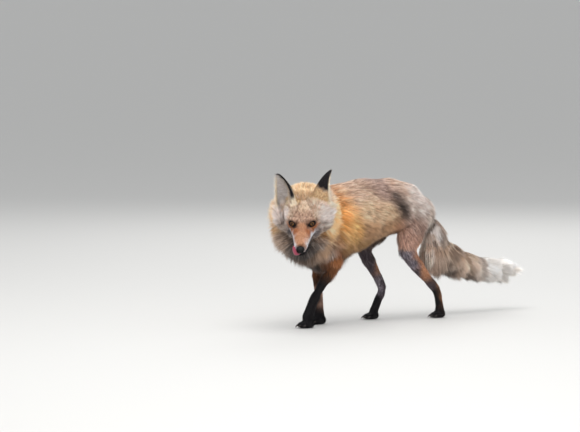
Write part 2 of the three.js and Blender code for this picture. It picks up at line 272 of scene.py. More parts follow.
B, H = Home.BODY, Home.HEAD
GUIDES: list[Guide] = [
    *lay(
        Part.NECK, B,
        ((22, -215, 342), (-0.4, 0.9, 0.05), 46, 1.6, 24),
        ((88, -200, 265), (-0.15, 0.9, -0.4), 48, 1.6, 24),
        ((-58, -235, 262), (-0.5, 0.75, -0.4), 50, 1.6, 26),
        ((-22, -262, 205), (-0.35, 0.45, -0.8), 52, 1.6, 28),
        ((28, -275, 180), (0.0, 0.45, -0.9), 50, 1.6, 28),
        ((72, -235, 195), (0.1, 0.6, -0.8), 50, 1.6, 28),
    ),
    *lay(
        Part.CHEST, B,
        ((0, -210, 140), (0, 0.5, -0.85), 50, 1.6, 32, 1.0, 12),
        ((0, -150, 150), (0, 0.5, -0.85), 54, 1.6, 38, 1.1, 28),
        ((0, -135, 335), (0, 1, 0), 42, 1.6, 16),
    ),
    *both(
        *lay(
            Part.CHEST, B,
            ((72, -150, 285), (0, 0.9, -0.4), 42, 1.6, 20),
            ((74, -160, 225), (0, 0.8, -0.6), 42, 1.6, 20),
            ((76, -90, 265), (0, 0.95, -0.3), 42, 1.6, 20),
            ((66, -100, 190), (0, 0.8, -0.6), 46, 1.6, 24),
        ),
        *lay(
            Part.LOIN, B,
            ((70, -5, 275), (0, 0.95, -0.3), 42, 1.6, 20),
            ((58, 5, 215), (0, 0.85, -0.55), 46, 1.6, 26),
        ),
        *lay(Part.RUMP, B, ((64, 92, 275), (0, 0.9, -0.45), 36, 1.5, 18)),
    ),
    *lay(
        Part.LOIN, B,
        ((0, -20, 346), (0, 1, 0), 40, 1.6, 13),
        ((0, -30, 185), (0, 1, -0.2), 36, 1.6, 22),
    ),
    *lay(
        Part.RUMP, B,
        ((0, 85, 336), (0, 1, -0.25), 38, 1.6, 11),
        ((0, 155, 290), (0, 0.65, -0.75), 42, 1.6, 15),
        ((0, 75, 206), (0, 1, -0.1), 26, 1.4, 18),
    ),
    *lay(
        Part.TAIL, B,
        ((0, 190, 230), (0, 0.5, -0.87), 46, 1.7, 22),
        ((0, 222, 180), (0, 0.55, -0.85), 54, 1.7, 24),
        ((0, 186, 160), (0, -0.05, -1), 66, 1.7, 32, 1.0, 26),
        ((0, 236, 112), (0, 0.6, -0.8), 62, 1.7, 28, 0.9, 12),
        ((0, 268, 142), (0, 0.85, -0.5), 54, 1.7, 24),
        ((0, 330, 120), (0, 0.97, -0.25), 52, 1.7, 24),
        ((0, 385, 108), (0, 1, -0.1), 50, 1.7, 22),
        ((0, 424, 103), (0, 1, 0), 44, 1.6, 18),
        ((0, 452, 102), (0, 1, 0), 44, 1.4, 12),
        ((0, 478, 102), (0, 1, 0), 44, 1.3, 7),
    ),
    *lay(
        Part.FORELEGS, B,
        ((58, -166, 190), (0, 0.4, -0.9), 26, 1.3, 16, 0.7),
        ((47, -150, 148), (0, 0.35, -0.94), 16, 1.1, 14, 0.7),
        ((40, -181, 108), (-0.1, -0.45, -0.9), 10, 1.0, 12, 0.8),
        ((32, -206, 62), (-0.1, -0.4, -0.92), 9, 1.0, 12, 0.8),
        ((26, -226, 12), (0, -0.93, -0.35), 6, 0.9, 10, 0.8),
        ((-58, -146, 188), (0, 0.3, -0.95), 26, 1.3, 16, 0.7),
        ((-46, -128, 146), (0, 0.1, -1), 16, 1.1, 14, 0.7),
        ((-38, -133, 104), (0.1, -0.1, -1), 10, 1.0, 12, 0.8),
        ((-30, -136, 58), (0.1, -0.05, -1), 9, 1.0, 12, 0.8),
        ((-26, -147, 12), (0, -0.93, -0.35), 6, 0.9, 10, 0.8),
    ),
    *lay(
        Part.HINDLEGS, B,
        ((64, 92, 225), (0, 0.35, -0.93), 22, 1.3, 14, 0.8),
        ((60, 58, 202), (0, 0.3, -0.95), 15, 1.2, 13, 0.8),
        ((50, 108, 188), (0, 0.3, -0.95), 16, 1.2, 13, 0.8),
        ((46, 82, 170), (0, 0.5, -0.85), 16, 1.1, 14, 0.8),
        ((44, 122, 118), (0, 0.65, -0.75), 11, 1.0, 12, 0.8),
        ((42, 172, 72), (0, 0.3, -0.95), 9, 1.0, 12, 0.8),
        ((41, 184, 42), (0, 0.1, -1), 8, 0.9, 10, 0.8),
        ((40, 180, 12), (0, -0.93, -0.35), 6, 0.9, 10, 0.8),
        ((-64, 52, 218), (0, 0.1, -1), 20, 1.3, 14, 0.8),
        ((-56, 20, 200), (0, 0.1, -1), 15, 1.2, 13, 0.8),
        ((-50, 26, 178), (0, 0.2, -0.97), 16, 1.1, 14, 0.8),
        ((-46, 44, 128), (0, 0.5, -0.86), 11, 1.0, 12, 0.8),
        ((-42, 74, 76), (0, 0.1, -1), 9, 1.0, 12, 0.8),
        ((-40, 62, 46), (0, -0.4, -0.9), 8, 0.9, 10, 0.8),
        ((-38, 34, 12), (0, -0.93, -0.35), 6, 0.9, 10, 0.8),
    ),
    *lay(
        Part.FACE, H,
        ((0, -66, -8), (0, 1, 0.1), 4.5, 0.8, 10, 0.8),
        ((0, -40, -2), (0, 1, 0.1), 5.5, 0.8, 10, 0.8),
        ((0, -6, 9), (0, 0.9, 0.45), 7, 0.8, 12, 0.8),
        ((0, 24, 22), (0, 0.92, 0.4), 13, 0.9, 16),
        ((0, 54, 38), (0, 1, 0.2), 22, 1.1, 20),
        ((0, -62, -36), (0, 1, -0.1), 5, 0.8, 12, 0.8),
        ((0, -20, -50), (0, 1, -0.25), 13, 0.9, 16),
    ),
    *both(
        *lay(
            Part.FACE, H,
            ((16, -54, -16), (0.05, 1, 0.1), 5, 0.8, 10, 0.8),
            ((19, -30, -28), (0.1, 1, -0.1), 6, 0.8, 12, 0.8),
            ((15, -14, 4), (0.2, 0.95, 0.2), 5.5, 0.8, 10, 0.8),
            ((20, 14, 18), (0.4, 0.85, 0.4), 9, 0.8, 14),
            ((36, 20, 6), (0.6, 0.8, 0.1), 13, 0.9, 16),
            ((28, -4, -16), (0.4, 0.9, -0.1), 8, 0.8, 12, 0.8),
            ((30, 2, -40), (0.5, 0.8, -0.35), 14, 0.9, 16),
        ),
        *lay(
            Part.RUFF, H,
            ((50, 30, -18), (0.6, 0.8, -0.2), 28, 1.2, 20),
            ((44, 34, 26), (0.45, 0.9, 0.15), 22, 1.1, 18),
            ((74, 58, -14), (0.35, 0.92, -0.2), 46, 1.5, 24),
            ((62, 70, 30), (0.3, 0.95, 0.1), 40, 1.5, 22),
            ((44, 34, -62), (0.35, 0.75, -0.55), 40, 1.4, 26),
            ((60, 66, -66), (0.3, 0.8, -0.5), 48, 1.5, 28),
        ),
    ),
    *lay(
        Part.RUFF, H,
        ((0, 26, -66), (0, 0.85, -0.5), 36, 1.4, 24),
        ((0, 62, -96), (0, 0.8, -0.6), 50, 1.5, 28),
        ((0, 90, 52), (0, 1, 0.05), 42, 1.5, 22),
    ),
]
for ear_home in (Home.EAR_LEFT, Home.EAR_RIGHT):
    GUIDES += lay(
        Part.EARS,
        ear_home,
        ((0, 8, 24), (0, 0, 1), 8, 0.8, 12, 0.8),
        ((0, 6, 50), (0, 0, 1), 5, 0.8, 9, 0.8),
        ((0, 8, 78), (0, 0, 1), 4, 0.7, 8, 0.8),
    )


@dataclass(frozen=True)
class Pelt:
    """A coat's colours in 0-255 steps, from root to tip, and its shares of pale and of dark hair."""

    # deep: the roots' colour, the underfur's own darker tone deepened as painted shade deep in the coat.
    deep: Colour
    body: Colour
    tip: Colour
    pale: float = 0.15
    dark: float = 0.1


RUSSET = Pelt((98, 66, 48), (196, 138, 96), (216, 174, 138), 0.24, 0.16)
ORANGE = Pelt((150, 92, 46), (242, 164, 86), (248, 192, 124), 0.14, 0.05)
GOLD = Pelt((108, 74, 42), (208, 146, 80), (226, 182, 120), 0.22, 0.1)
HONEY = Pelt((196, 150, 104), (250, 206, 146), (252, 226, 182), 0.2, 0.02)
TAN = Pelt((82, 60, 44), (168, 124, 86), (196, 156, 120), 0.24, 0.2)
# The flank's gold, darkened as painted shade along its lower edge under the belly line.
HEM_SHADE = Pelt((50, 36, 22), (126, 92, 54), (160, 122, 78), 0.14, 0.28)
GRIZZLE = Pelt((122, 96, 80), (186, 146, 120), (218, 190, 170), 0.34, 0.22)
SADDLE = Pelt((94, 76, 68), (148, 116, 100), (188, 160, 148), 0.3, 0.32)
CREAM = Pelt((98, 76, 60), (198, 156, 120), (224, 196, 164), 0.34, 0.16)
PALE = Pelt((138, 122, 114), (206, 186, 174), (232, 218, 210), 0.36, 0.1)
ASH = Pelt((112, 94, 84), (182, 158, 143), (218, 200, 188), 0.36, 0.22)
SMOKE = Pelt((24, 19, 19), (40, 32, 31), (64, 52, 50), 0.04, 0.5)
# Dark brown belly hair, darkened by painted shade under the body and inside the far thigh.
BELLY_SHADE = Pelt((34, 26, 22), (78, 60, 46), (106, 86, 68), 0.1, 0.3)
# Grey throat hair, darkened by painted shade under the chin, throat and chest.
THROAT_SHADE = Pelt((18, 15, 16), (48, 42, 42), (98, 90, 86), 0.14, 0.35)
STREAK = Pelt((60, 50, 46), (134, 114, 104), (192, 176, 166), 0.34, 0.26)
MIST = Pelt((96, 82, 76), (180, 156, 142), (224, 206, 194), 0.36, 0.16)
THIGH = Pelt((74, 56, 50), (156, 122, 106), (184, 154, 140), 0.28, 0.24)
HAM = Pelt((90, 66, 56), (188, 144, 124), (208, 170, 152), 0.16, 0.12)
RUST = Pelt((66, 38, 22), (158, 98, 58), (180, 122, 80), 0.08, 0.1)
EMBER = Pelt((48, 28, 17), (116, 70, 40), (140, 92, 58), 0.05, 0.15)
COPPER = Pelt((88, 56, 36), (186, 126, 88), (204, 150, 114), 0.1, 0.08)
UMBER = Pelt((28, 18, 12), (64, 40, 26), (88, 60, 42), 0.04, 0.2)
SHIN = Pelt((48, 42, 46), (102, 93, 101), (152, 142, 152), 0.28, 0.3)
SLATE = Pelt((32, 27, 30), (72, 60, 66), (106, 94, 100), 0.14, 0.3)
SOCK = Pelt((6, 5, 6), (12, 10, 12), (24, 20, 24), 0.0, 0.0)
SNOW = Pelt((170, 166, 172), (228, 226, 232), (246, 244, 248), 0.25, 0.05)
FROST = Pelt((218, 212, 206), (232, 225, 218), (246, 242, 238), 0.25, 0.0)
MURK = Pelt((62, 51, 44), (144, 120, 103), (190, 166, 148), 0.3, 0.26)
FACE = Pelt((88, 66, 50), (178, 142, 112), (218, 190, 164), 0.44, 0.24)
BROW = Pelt((66, 48, 38), (146, 110, 88), (194, 162, 140), 0.36, 0.22)
TEMPLE = Pelt((118, 92, 74), (210, 172, 144), (238, 212, 192), 0.38, 0.14)
CREST = Pelt((120, 94, 72), (214, 178, 146), (242, 220, 198), 0.4, 0.18)
CROWN = Pelt((112, 82, 58), (206, 162, 116), (230, 198, 158), 0.34, 0.14)
BRIDGE = Pelt((92, 62, 44), (164, 112, 78), (184, 138, 106), 0.06, 0.05)
TEAR = Pelt((56, 32, 18), (146, 86, 50), (166, 108, 74), 0.0, 0.06)
FLAME = Pelt((76, 44, 24), (166, 100, 58), (184, 120, 78), 0.02, 0.05)
INK = Pelt((30, 18, 14), (66, 40, 28), (88, 58, 44), 0.0, 0.3)
# Dark grey under the jaw and chin: dark hair there, deepened by painted shade.
JAW_SHADE = Pelt((30, 26, 28), (64, 56, 60), (104, 96, 98), 0.12, 0.3)
CHEEK = Pelt((190, 172, 162), (238, 222, 214), (250, 240, 234), 0.34, 0.04)
EAR_BACK = Pelt((12, 9, 11), (22, 18, 21), (36, 31, 34), 0.0, 0.0)
EAR_INNER = Pelt((184, 174, 170), (208, 198, 192), (228, 218, 212), 0.3, 0.06)
EAR_RIM = Pelt((190, 168, 140), (240, 222, 194), (248, 238, 220), 0.2, 0.0)
BRUSH = Pelt((74, 61, 55), (192, 169, 154), (232, 217, 206), 0.4, 0.28)
BRUSH_SIDE = Pelt((78, 60, 50), (200, 166, 140), (232, 208, 188), 0.4, 0.26)
BRUSH_TOP = Pelt((66, 46, 32), (178, 130, 90), (204, 162, 124), 0.22, 0.24)
# The tail's underside, darker than its sides as painted shade.
BRUSH_UNDER_SHADE = Pelt((36, 29, 27), (88, 75, 69), (128, 114, 104), 0.22, 0.38)


@dataclass(frozen=True)
class Dye:
    """A place on the fox whose coat is one pelt; neighbours blend between them."""

    home: Home
    at: Point
    pelt: Pelt
    reach: float = 1.0


def dyed(home: Home, *rows: tuple) -> list[Dye]:
    """Dyes in one frame, from the rest of their values."""
    return [Dye(home, *row) for row in rows]


DYES: list[Dye] = [
    *dyed(
        B,
        ((0, -150, 335), RUSSET), ((0, -80, 342), GRIZZLE), ((0, 0, 348), SADDLE), ((0, 80, 338), GRIZZLE),
        # The throat and belly dyes along the underside are painted shade.
        ((0, 140, 308), PALE), ((0, 168, 270), PALE), ((0, -200, 135), THROAT_SHADE, 1.3), ((0, -110, 155), BELLY_SHADE),
        # The belly dyes here are painted shade under the body.
        ((0, -30, 178), BELLY_SHADE, 1.2), ((0, 60, 205), BELLY_SHADE),
    ),
    *both(
        *dyed(
            B,
            ((62, -165, 300), RUSSET), ((78, -150, 262), ORANGE, 1.2), ((86, -172, 232), ORANGE, 0.8),
            ((60, -80, 312), GRIZZLE), ((74, -70, 270), CREAM), ((76, -115, 228), GOLD, 1.1),
            # The two dyes at the flank's lower edge are painted shade under the belly line and chest.
            ((68, -60, 224), TAN, 0.9), ((60, -64, 198), HEM_SHADE, 0.65), ((60, -120, 186), HEM_SHADE, 0.55),
            ((58, 0, 314), SADDLE), ((68, -5, 268), CREAM, 0.9), ((58, 5, 228), TAN),
            ((58, 30, 298), SMOKE, 0.54), ((60, 42, 284), SMOKE, 0.54), ((62, 54, 268), SMOKE, 0.54),
            ((56, 66, 318), GRIZZLE, 0.8), ((52, 98, 304), PALE), ((62, 92, 270), ASH, 0.8),
            ((58, 118, 280), PALE, 1.1), ((46, 152, 250), ASH, 0.8), ((60, -175, 165), STREAK, 0.9),
            ((60, -168, 200), TAN, 0.8),
        ),
    ),
    *dyed(
        B,
        ((64, 92, 232), THIGH), ((62, 50, 222), COPPER, 0.7), ((48, 128, 212), THIGH, 0.8),
        ((56, 72, 185), HAM, 0.9), ((52, 62, 158), SHIN, 0.8), ((44, 114, 158), COPPER, 1.0),
        ((43, 126, 140), COPPER, 0.8), ((50, 90, 134), SHIN, 0.7), ((46, 104, 108), SLATE, 0.7),
        ((42, 138, 122), COPPER, 0.8), ((42, 152, 70), SLATE, 0.8), ((42, 184, 78), COPPER, 0.8),
        ((41, 166, 62), SOCK, 0.9), ((41, 172, 40), SOCK, 1.0), ((41, 202, 48), COPPER, 0.95),
        ((40, 174, 12), SOCK, 1.1), ((40, 204, 20), UMBER, 0.6), ((-64, 58, 226), THIGH),
        # The belly dye on the far thigh's inside is painted shade.
        ((-54, 8, 180), SLATE, 0.9), ((-46, 56, 180), BELLY_SHADE, 0.9), ((-46, 28, 128), SLATE, 0.6),
        ((-46, 20, 150), SLATE, 0.8), ((-44, 64, 126), COPPER, 0.45), ((-42, 60, 74), SHIN, 0.7),
        ((-42, 86, 76), SLATE, 0.9), ((-40, 50, 44), SOCK, 0.8), ((-40, 74, 46), SLATE, 0.7),
        ((-38, 34, 12), SOCK, 1.1), ((54, -148, 156), RUST, 1.0), ((46, -152, 130), EMBER, 0.9),
        ((46, -182, 128), UMBER, 0.8), ((38, -168, 104), UMBER, 0.6), ((38, -192, 96), SOCK, 1.0),
        ((32, -206, 62), SOCK, 1.2), ((26, -220, 14), SOCK, 1.3), ((-58, -146, 195), ORANGE, 0.8),
        ((-46, -128, 150), RUST, 1.0), ((-46, -138, 116), EMBER, 0.9), ((-32, -132, 104), UMBER, 0.8),
        ((-33, -130, 76), HAM, 0.6), ((-30, -128, 48), HAM, 0.7), ((-30, -152, 52), SOCK, 0.8),
        ((-26, -145, 12), SOCK, 1.2), ((18, -205, 345), CROWN, 1.1), ((92, -195, 275), HONEY),
        ((90, -205, 228), GOLD, 0.9), ((80, -222, 205), STREAK, 0.8), ((66, -240, 180), MURK, 0.8),
        # The throat dye here is painted shade under the chest.
        ((25, -265, 165), THROAT_SHADE, 1.2), ((-58, -235, 262), GOLD, 1.1), ((-34, -258, 205), MURK),
        ((-50, -215, 175), MURK, 0.9), ((0, 190, 256), BRUSH), ((38, 200, 225), BRUSH),
        ((-38, 200, 225), BRUSH), ((0, 165, 195), BRUSH, 1.1), ((0, 248, 200), BRUSH_TOP, 0.8),
        ((36, 250, 160), BRUSH_SIDE, 1.1), ((-36, 250, 160), BRUSH_SIDE, 1.1), ((0, 290, 170), BRUSH_TOP, 1.0),
        ((34, 310, 128), BRUSH_SIDE, 1.0), ((-34, 310, 128), BRUSH_SIDE, 1.0), ((0, 335, 150), BRUSH_TOP, 1.0),
        # The dyes along the tail's underside are painted shade.
        ((0, 240, 112), BRUSH_UNDER_SHADE, 0.8), ((0, 300, 92), BRUSH_UNDER_SHADE), ((0, 345, 84), BRUSH_UNDER_SHADE, 0.9),
        ((0, 350, 116), BRUSH, 0.9), ((0, 390, 106), FROST, 1.6), ((0, 430, 104), FROST, 1.3),
        ((0, 470, 102), FROST, 1.5),
    ),
    *dyed(
        H,
        ((0, -60, -6), BRIDGE), ((0, -36, -2), BRIDGE), ((0, -12, 6), BRIDGE, 0.7), ((0, 8, 16), BROW, 0.9),
        # The dyes under the chin here are dark hair deepened by painted shade.
        ((0, 30, 28), FACE), ((0, 54, 39), CREST, 1.0), ((0, 84, 50), CROWN, 1.2), ((0, -68, -38), JAW_SHADE, 0.8),
        # The throat dyes under the head are painted shade under the jaw.
        ((0, -40, -46), JAW_SHADE, 0.8), ((0, 10, -62), THROAT_SHADE), ((0, 50, -94), THROAT_SHADE, 1.0),
    ),
    *both(
        *dyed(
            H,
            ((13, -8, 4), INK, 0.55), ((14, -24, 0), TEAR, 0.75), ((9, -44, -4), BRIDGE, 0.8),
            ((27, -5, -6), FLAME, 0.85), ((35, 8, -4), FLAME, 0.6), ((28, -2, -18), SNOW, 0.75),
            ((23, -20, -20), SNOW, 0.85), ((18, -42, -21), SNOW, 0.85), ((15, -62, -22), SNOW, 0.8),
            # The three dyes low on each jaw are dark hair deepened by painted shade.
            ((20, -30, -36), JAW_SHADE, 0.7), ((28, -6, -36), JAW_SHADE, 0.8), ((36, 8, -28), JAW_SHADE, 0.7),
            ((16, 12, 18), BROW, 0.9), ((30, 18, 14), TEMPLE, 0.8), ((26, 34, 28), TEMPLE),
            ((44, 32, 12), CHEEK), ((46, 22, -8), MIST, 0.8), ((60, 38, 0), CHEEK, 1.3),
            ((58, 34, -24), MIST, 0.8), ((44, 20, -40), STREAK, 1.1), ((60, 40, -44), MIST, 0.9),
            ((50, 40, -72), MURK, 1.0), ((64, 62, -88), MURK, 1.0), ((80, 66, -6), HONEY, 1.0),
            ((78, 66, -46), GOLD, 0.9), ((62, 70, 36), CHEEK, 0.9), ((40, 60, 40), CROWN, 0.9),
        ),
    ),
]


def shepard(points: Array, stations: Sequence[Any], power: float) -> Array:
    """Each station's share at each point, larger the nearer it is.

    Args:
        points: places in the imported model, in millimetres.
        stations: guides or dyes.
        power: how sharply one station gives way to the next.

    Returns:
        A row of shares for each point, which add up to one.
    """
    places = np.array([FOX.out(s.home, s.at) for s in stations])
    reach = np.array([s.reach for s in stations])
    shares = np.empty((len(points), len(stations)), np.float32)
    for start in range(0, len(points), CHUNK):
        chunk = points[start : start + CHUNK]
        gap = np.linalg.norm(chunk[:, None] - places[None], axis=2) / reach
        weight = 1.0 / (gap + 2.0) ** power
        shares[start : start + CHUNK] = weight / weight.sum(1, keepdims=True)
    return shares


@dataclass(frozen=True)
class Ear:
    """One ear: a thin cone, open in front, that narrows to a point."""

    home: Home
    length: float = 88.0
    radius: float = 28.0
    wall: float = 2.6
    root: float = -28.0
    lean: float = 4.5
    bulge: float = 3.0
    set_back: float = 0.2

    def measure(self, points: Array) -> tuple[Array, Array, Array, Array]:
        """Where points lie on the ear.

        Args:
            points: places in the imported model, in millimetres.

        Returns:
            The places in the ear's frame, how much each belongs to the ear, its rise from the
            ear's base to its tip, and how near it is to an edge of the opening, signed by the edge.
        """
        local = FOX.back(self.home, points)
        rise = np.clip(local[:, 2] / self.length, 0.0, 1.0)
        local[:, :2] -= self._shift(rise)
        across = local[:, 1] + self.set_back * self._spread(rise)
        turned = np.degrees(np.arctan2(local[:, 0], across))
        gap = np.abs(np.hypot(local[:, 0], across) - self._spread(rise))
        owned = smooth(9.0, 4.0, gap) * smooth(6.0, 14.0, local[:, 2]) * (local[:, 2] < self.length + 12)
        return local, owned, rise, turned / self._wrap(rise)

    def _shift(self, rise: Array) -> Array:
        """How far the cone's axis stands towards the crown at a rise."""
        way = (1.0, 0.0) if self.home is Home.EAR_RIGHT else (-0.2, 1.0)
        return (self.lean * (1 - rise) + 4 * self.bulge * rise * (1 - rise))[..., None] * way

    def _spread(self, rise: Array) -> Array:
        """The cone's radius at a rise."""
        return self.radius * (1 - rise) ** 0.6 * (1 + 0.3 * rise) + 0.8

    @staticmethod
    def _wrap(rise: Array) -> Array:
        """How far round the cone each side of the ear reaches at a rise, in degrees."""
        return 132.0 - 70.0 * rise

    def mesh(self) -> tuple[Array, Array]:
        """The ear as a closed surface, from below the head's skin to the tip."""
        rows, columns = 48, 40
        height = np.linspace(self.root, self.length, rows)
        rise = np.clip(height / self.length, 0.0, 1.0)
        spread = self._spread(rise)
        wrap = np.radians(self._wrap(rise))
        rings = []
        for inset in (0.0, self.wall):
            turned = wrap[:, None] * np.linspace(-1, 1, columns)[None]
            reach = np.maximum(spread - inset, 0.15)[:, None]
            shift = self._shift(rise)[:, None]
            x = reach * np.sin(turned) + shift[..., 0]
            y = reach * np.cos(turned) - self.set_back * spread[:, None] + shift[..., 1]
            z = np.repeat(height[:, None], columns, 1)
            rings.append(np.stack([x, y, z], -1))
        ring = np.concatenate([rings[0], rings[1][:, ::-1]], 1)
        width = 2 * columns
        faces = [ring_faces(rows, width)]
        for start in (0, (rows - 1) * width):
            k = np.arange(columns - 1)
            a, b = start + k, start + k + 1
            c, d = start + width - 2 - k, start + width - 1 - k
            faces += [np.stack([a, b, c], 1), np.stack([a, c, d], 1)]
        return FOX.out(self.home, ring.reshape(-1, 3)), np.concatenate(faces)


EARS = (Ear(Home.EAR_LEFT), Ear(Home.EAR_RIGHT))


@dataclass
class Coat:
    """The coat's lie and colours at any place near the fox."""

    guides: list[Guide] = field(default_factory=lambda: GUIDES)
    dyes: list[Dye] = field(default_factory=lambda: DYES)

    def measures(self, points: Array, normals: Array | None = None) -> dict[str, Array]:
        """The coat's depth, its tufts' sizes and its way at each point, blended from the guides.

        Args:
            points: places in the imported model, in millimetres.
            normals: the skin's normals there, which tell an ear's inside from its back.

        Returns:
            depth, length, width and lift, lie as directions, and part as an index of Part.
        """
        shares = shepard(points, self.guides, 4.0)
        found = {
            key: shares @ np.array([getattr(g, key) for g in self.guides], np.float32)
            for key in ("depth", "length", "width", "lift")
        }
        ways = np.array([FOX.way(g.home, unit(np.array(g.lie, float))) for g in self.guides])
        found["lie"] = unit(shares @ ways.astype(np.float32))
        owners = np.array([g.part.rank for g in self.guides])
        found["part"] = owners[shares.argmax(1)]
        if normals is not None:
            for ear in EARS:
                self._comb_ear(ear, points, normals, found)
        return found

    def _comb_ear(self, ear: Ear, points: Array, normals: Array, found: dict[str, Array]) -> None:
        """Combs one ear: up its back, and across its inside from the edge nearer the crown."""
        _, owned, rise, edge = ear.measure(points)
        inner = owned * self._inside(ear, points, normals)
        near = 1.0 if ear.home is Home.EAR_RIGHT else -1.0
        rim = smooth(0.7, 0.95, edge * near) * owned
        sideways = FOX.way(ear.home, unit(np.array([-1.0 * near, -0.35, 0.75])))
        upward = FOX.way(ear.home, np.array([0.0, 0.0, 1.0]))
        lie = between(found["lie"], upward, owned[:, None])
        found["lie"] = unit(between(lie, sideways, inner[:, None]))
        found["length"] = between(found["length"], 4.5 + 5.0 * inner + 9.0 * rim * (1 - rise), owned)
        found["width"] = between(found["width"], 0.8, owned)
        found["lift"] = between(found["lift"], 8.0 + 6.0 * inner, owned)
        found["part"] = np.where(owned > 0.5, Part.EARS.rank, found["part"])

    @staticmethod
    def _inside(ear: Ear, points: Array, normals: Array) -> Array:
        """How surely each point is on the ear's inside."""
        local = FOX.back(ear.home, points)
        facing = normals @ FOX.frames[ear.home][0]
        rise = np.clip(local[:, 2] / ear.length, 0, 1)
        ring = unit(np.stack([local[:, 0], local[:, 1] + 5.0 * (1 - rise)], 1))
        return smooth(0.15, -0.15, (facing[:, :2] * ring).sum(1))

    def colours(self, points: Array, normals: Array) -> dict[str, Array]:
        """The coat's colours at each point: deep, body and tip, and its shares of pale and dark hair.

        Args:
            points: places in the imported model, in millimetres.
            normals: the skin's normals there.

        Returns:
            Three linear colours and two shares for each point.
        """
        shift = np.stack([ripple(points, 14.0, seed) for seed in (1.0, 2.3, 3.7)], 1) * 5.0
        shares = shepard(points + shift, self.dyes, 5.0)
        pelts = [d.pelt for d in self.dyes]
        found = {key: shares @ np.array([srgb(getattr(p, key)) for p in pelts]) for key in TONES}
        for key in SHARES:
            found[key] = shares @ np.array([getattr(p, key) for p in pelts])
        for ear in EARS:
            self._dye_ear(ear, points, normals, found)
        return found

    def _dye_ear(self, ear: Ear, points: Array, normals: Array, found: dict[str, Array]) -> None:
        """Colours one ear: black behind, pale inside, with a cream rim; the right one's inner edge is black."""
        local, owned, rise, edge = ear.measure(points)
        inner = self._inside(ear, points, normals)
        high = smooth(38.0, 50.0, local[:, 2] + 4 * ripple(points, 9.0, 5.0))
        strip = smooth(0.78, 0.84, edge) * smooth(0.26, 0.38, rise) * (ear.home is Home.EAR_RIGHT)
        rim = smooth(0.84, 0.96, np.abs(edge) + 0.14 * (edge > 0)) * smooth(1.0, 0.8, rise)
        for share, pelt in (
            (owned * (1 - inner) * (1 - high), CROWN),
            (owned * (1 - inner) * high, EAR_BACK),
            (owned * inner, EAR_INNER),
            (owned * rim, EAR_RIM),
            (owned * strip, EAR_BACK),
        ):
            for key in TONES:
                found[key] = between(found[key], srgb(getattr(pelt, key)), share[:, None])
            for key in SHARES:
                found[key] = between(found[key], getattr(pelt, key), share)


# ---- Distance fields -----------------------------------------------------------------------------


@dataclass
class Lattice:
    """Distances from a surface on a regular lattice, in millimetres; inside is negative."""

    low: Array
    step: float
    values: Array

    def spots(self, stride: int = 1) -> Array:
        """The places of the lattice's points, each stride-th along each axis, as rows."""
        axes = [self.low[k] + self.step * np.arange(0, n, stride) for k, n in enumerate(self.values.shape)]
        return np.stack(np.meshgrid(*axes, indexing="ij"), -1).reshape(-1, 3)

    def read(self, points: Array) -> Array:
        """The value at each point, between the lattice's points."""
        place = (points - self.low) / self.step
        top = np.array(self.values.shape) - 1.001
        place = np.clip(place, 0, top)
        cell = place.astype(int)
        part = place - cell
        total = np.zeros(len(points))
        for corner in np.ndindex(2, 2, 2):
            weight = np.prod(np.where(corner, part, 1 - part), axis=1)
            total += weight * self.values[tuple((cell + corner).T)]
        return total

    def slope(self, points: Array) -> Array:
        """The way in which the value grows fastest at each point."""
        gap = self.step * 0.75
        steps = [self.read(points + gap * axis) - self.read(points - gap * axis) for axis in np.eye(3)]
        return unit(np.stack(steps, 1))

    def blurred(self, size: float) -> Array:
        """The values softened over a size in millimetres."""
        sigma = size / self.step
        reach = max(1, int(3 * sigma))
        taps = np.exp(-0.5 * (np.arange(-reach, reach + 1) / sigma) ** 2)
        taps /= taps.sum()
        out = self.values
        for axis in range(3):
            pad = [(reach, reach) if k == axis else (0, 0) for k in range(3)]
            wide = np.pad(out, pad, mode="edge")
            cut = [slice(None)] * 3
            total = np.zeros_like(out)
            for k, tap in enumerate(taps):
                cut[axis] = slice(k, k + out.shape[axis])
                total += tap * wide[tuple(cut)]
            out = total
        return out

    def upsampled(self, coarse: Array, stride: int) -> Array:
        """Values known at each stride-th point, spread over the whole lattice."""
        rough = Lattice(self.low, self.step * stride, coarse)
        return rough.read(self.spots()).reshape(self.values.shape).astype(np.float32)

    def surface(self) -> tuple[Array, Array]:
        """The surface where the value is zero, as points and triangles."""
        grid = openvdb.FloatGrid(float(self.values.max()))
        grid.copyFromArray(self.values)
        points, triangles, quads = grid.convertToPolygons(isovalue=0.0, adaptivity=0.0)
        faces = np.concatenate([triangles, quads[:, [0, 1, 2]], quads[:, [0, 2, 3]]]).astype(np.int64)
        return points.astype(float) * self.step + self.low, faces[:, ::-1]


def blend_least(first: Array, second: Array, soft: float) -> Array:
    """The lesser of two fields, rounded off where they are nearly equal."""
    gap = np.maximum(soft - np.abs(first - second), 0.0)
    return np.minimum(first, second) - gap * gap / (4.0 * soft)


def triangles_of(nodes: Iterable[str]) -> tuple[Array, Array]:
    """The points, in millimetres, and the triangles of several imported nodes."""
    meshes = []
    for name in nodes:
        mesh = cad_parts[name].data
        mesh.calc_loop_triangles()
        xyz = np.empty(len(mesh.vertices) * 3, np.float32)
        mesh.vertices.foreach_get("co", xyz)
        corners = np.empty(len(mesh.loop_triangles) * 3, np.int32)
        mesh.loop_triangles.foreach_get("vertices", corners)
        meshes.append((xyz.reshape(-1, 3) / MM, corners.reshape(-1, 3)))
    return joined(meshes)


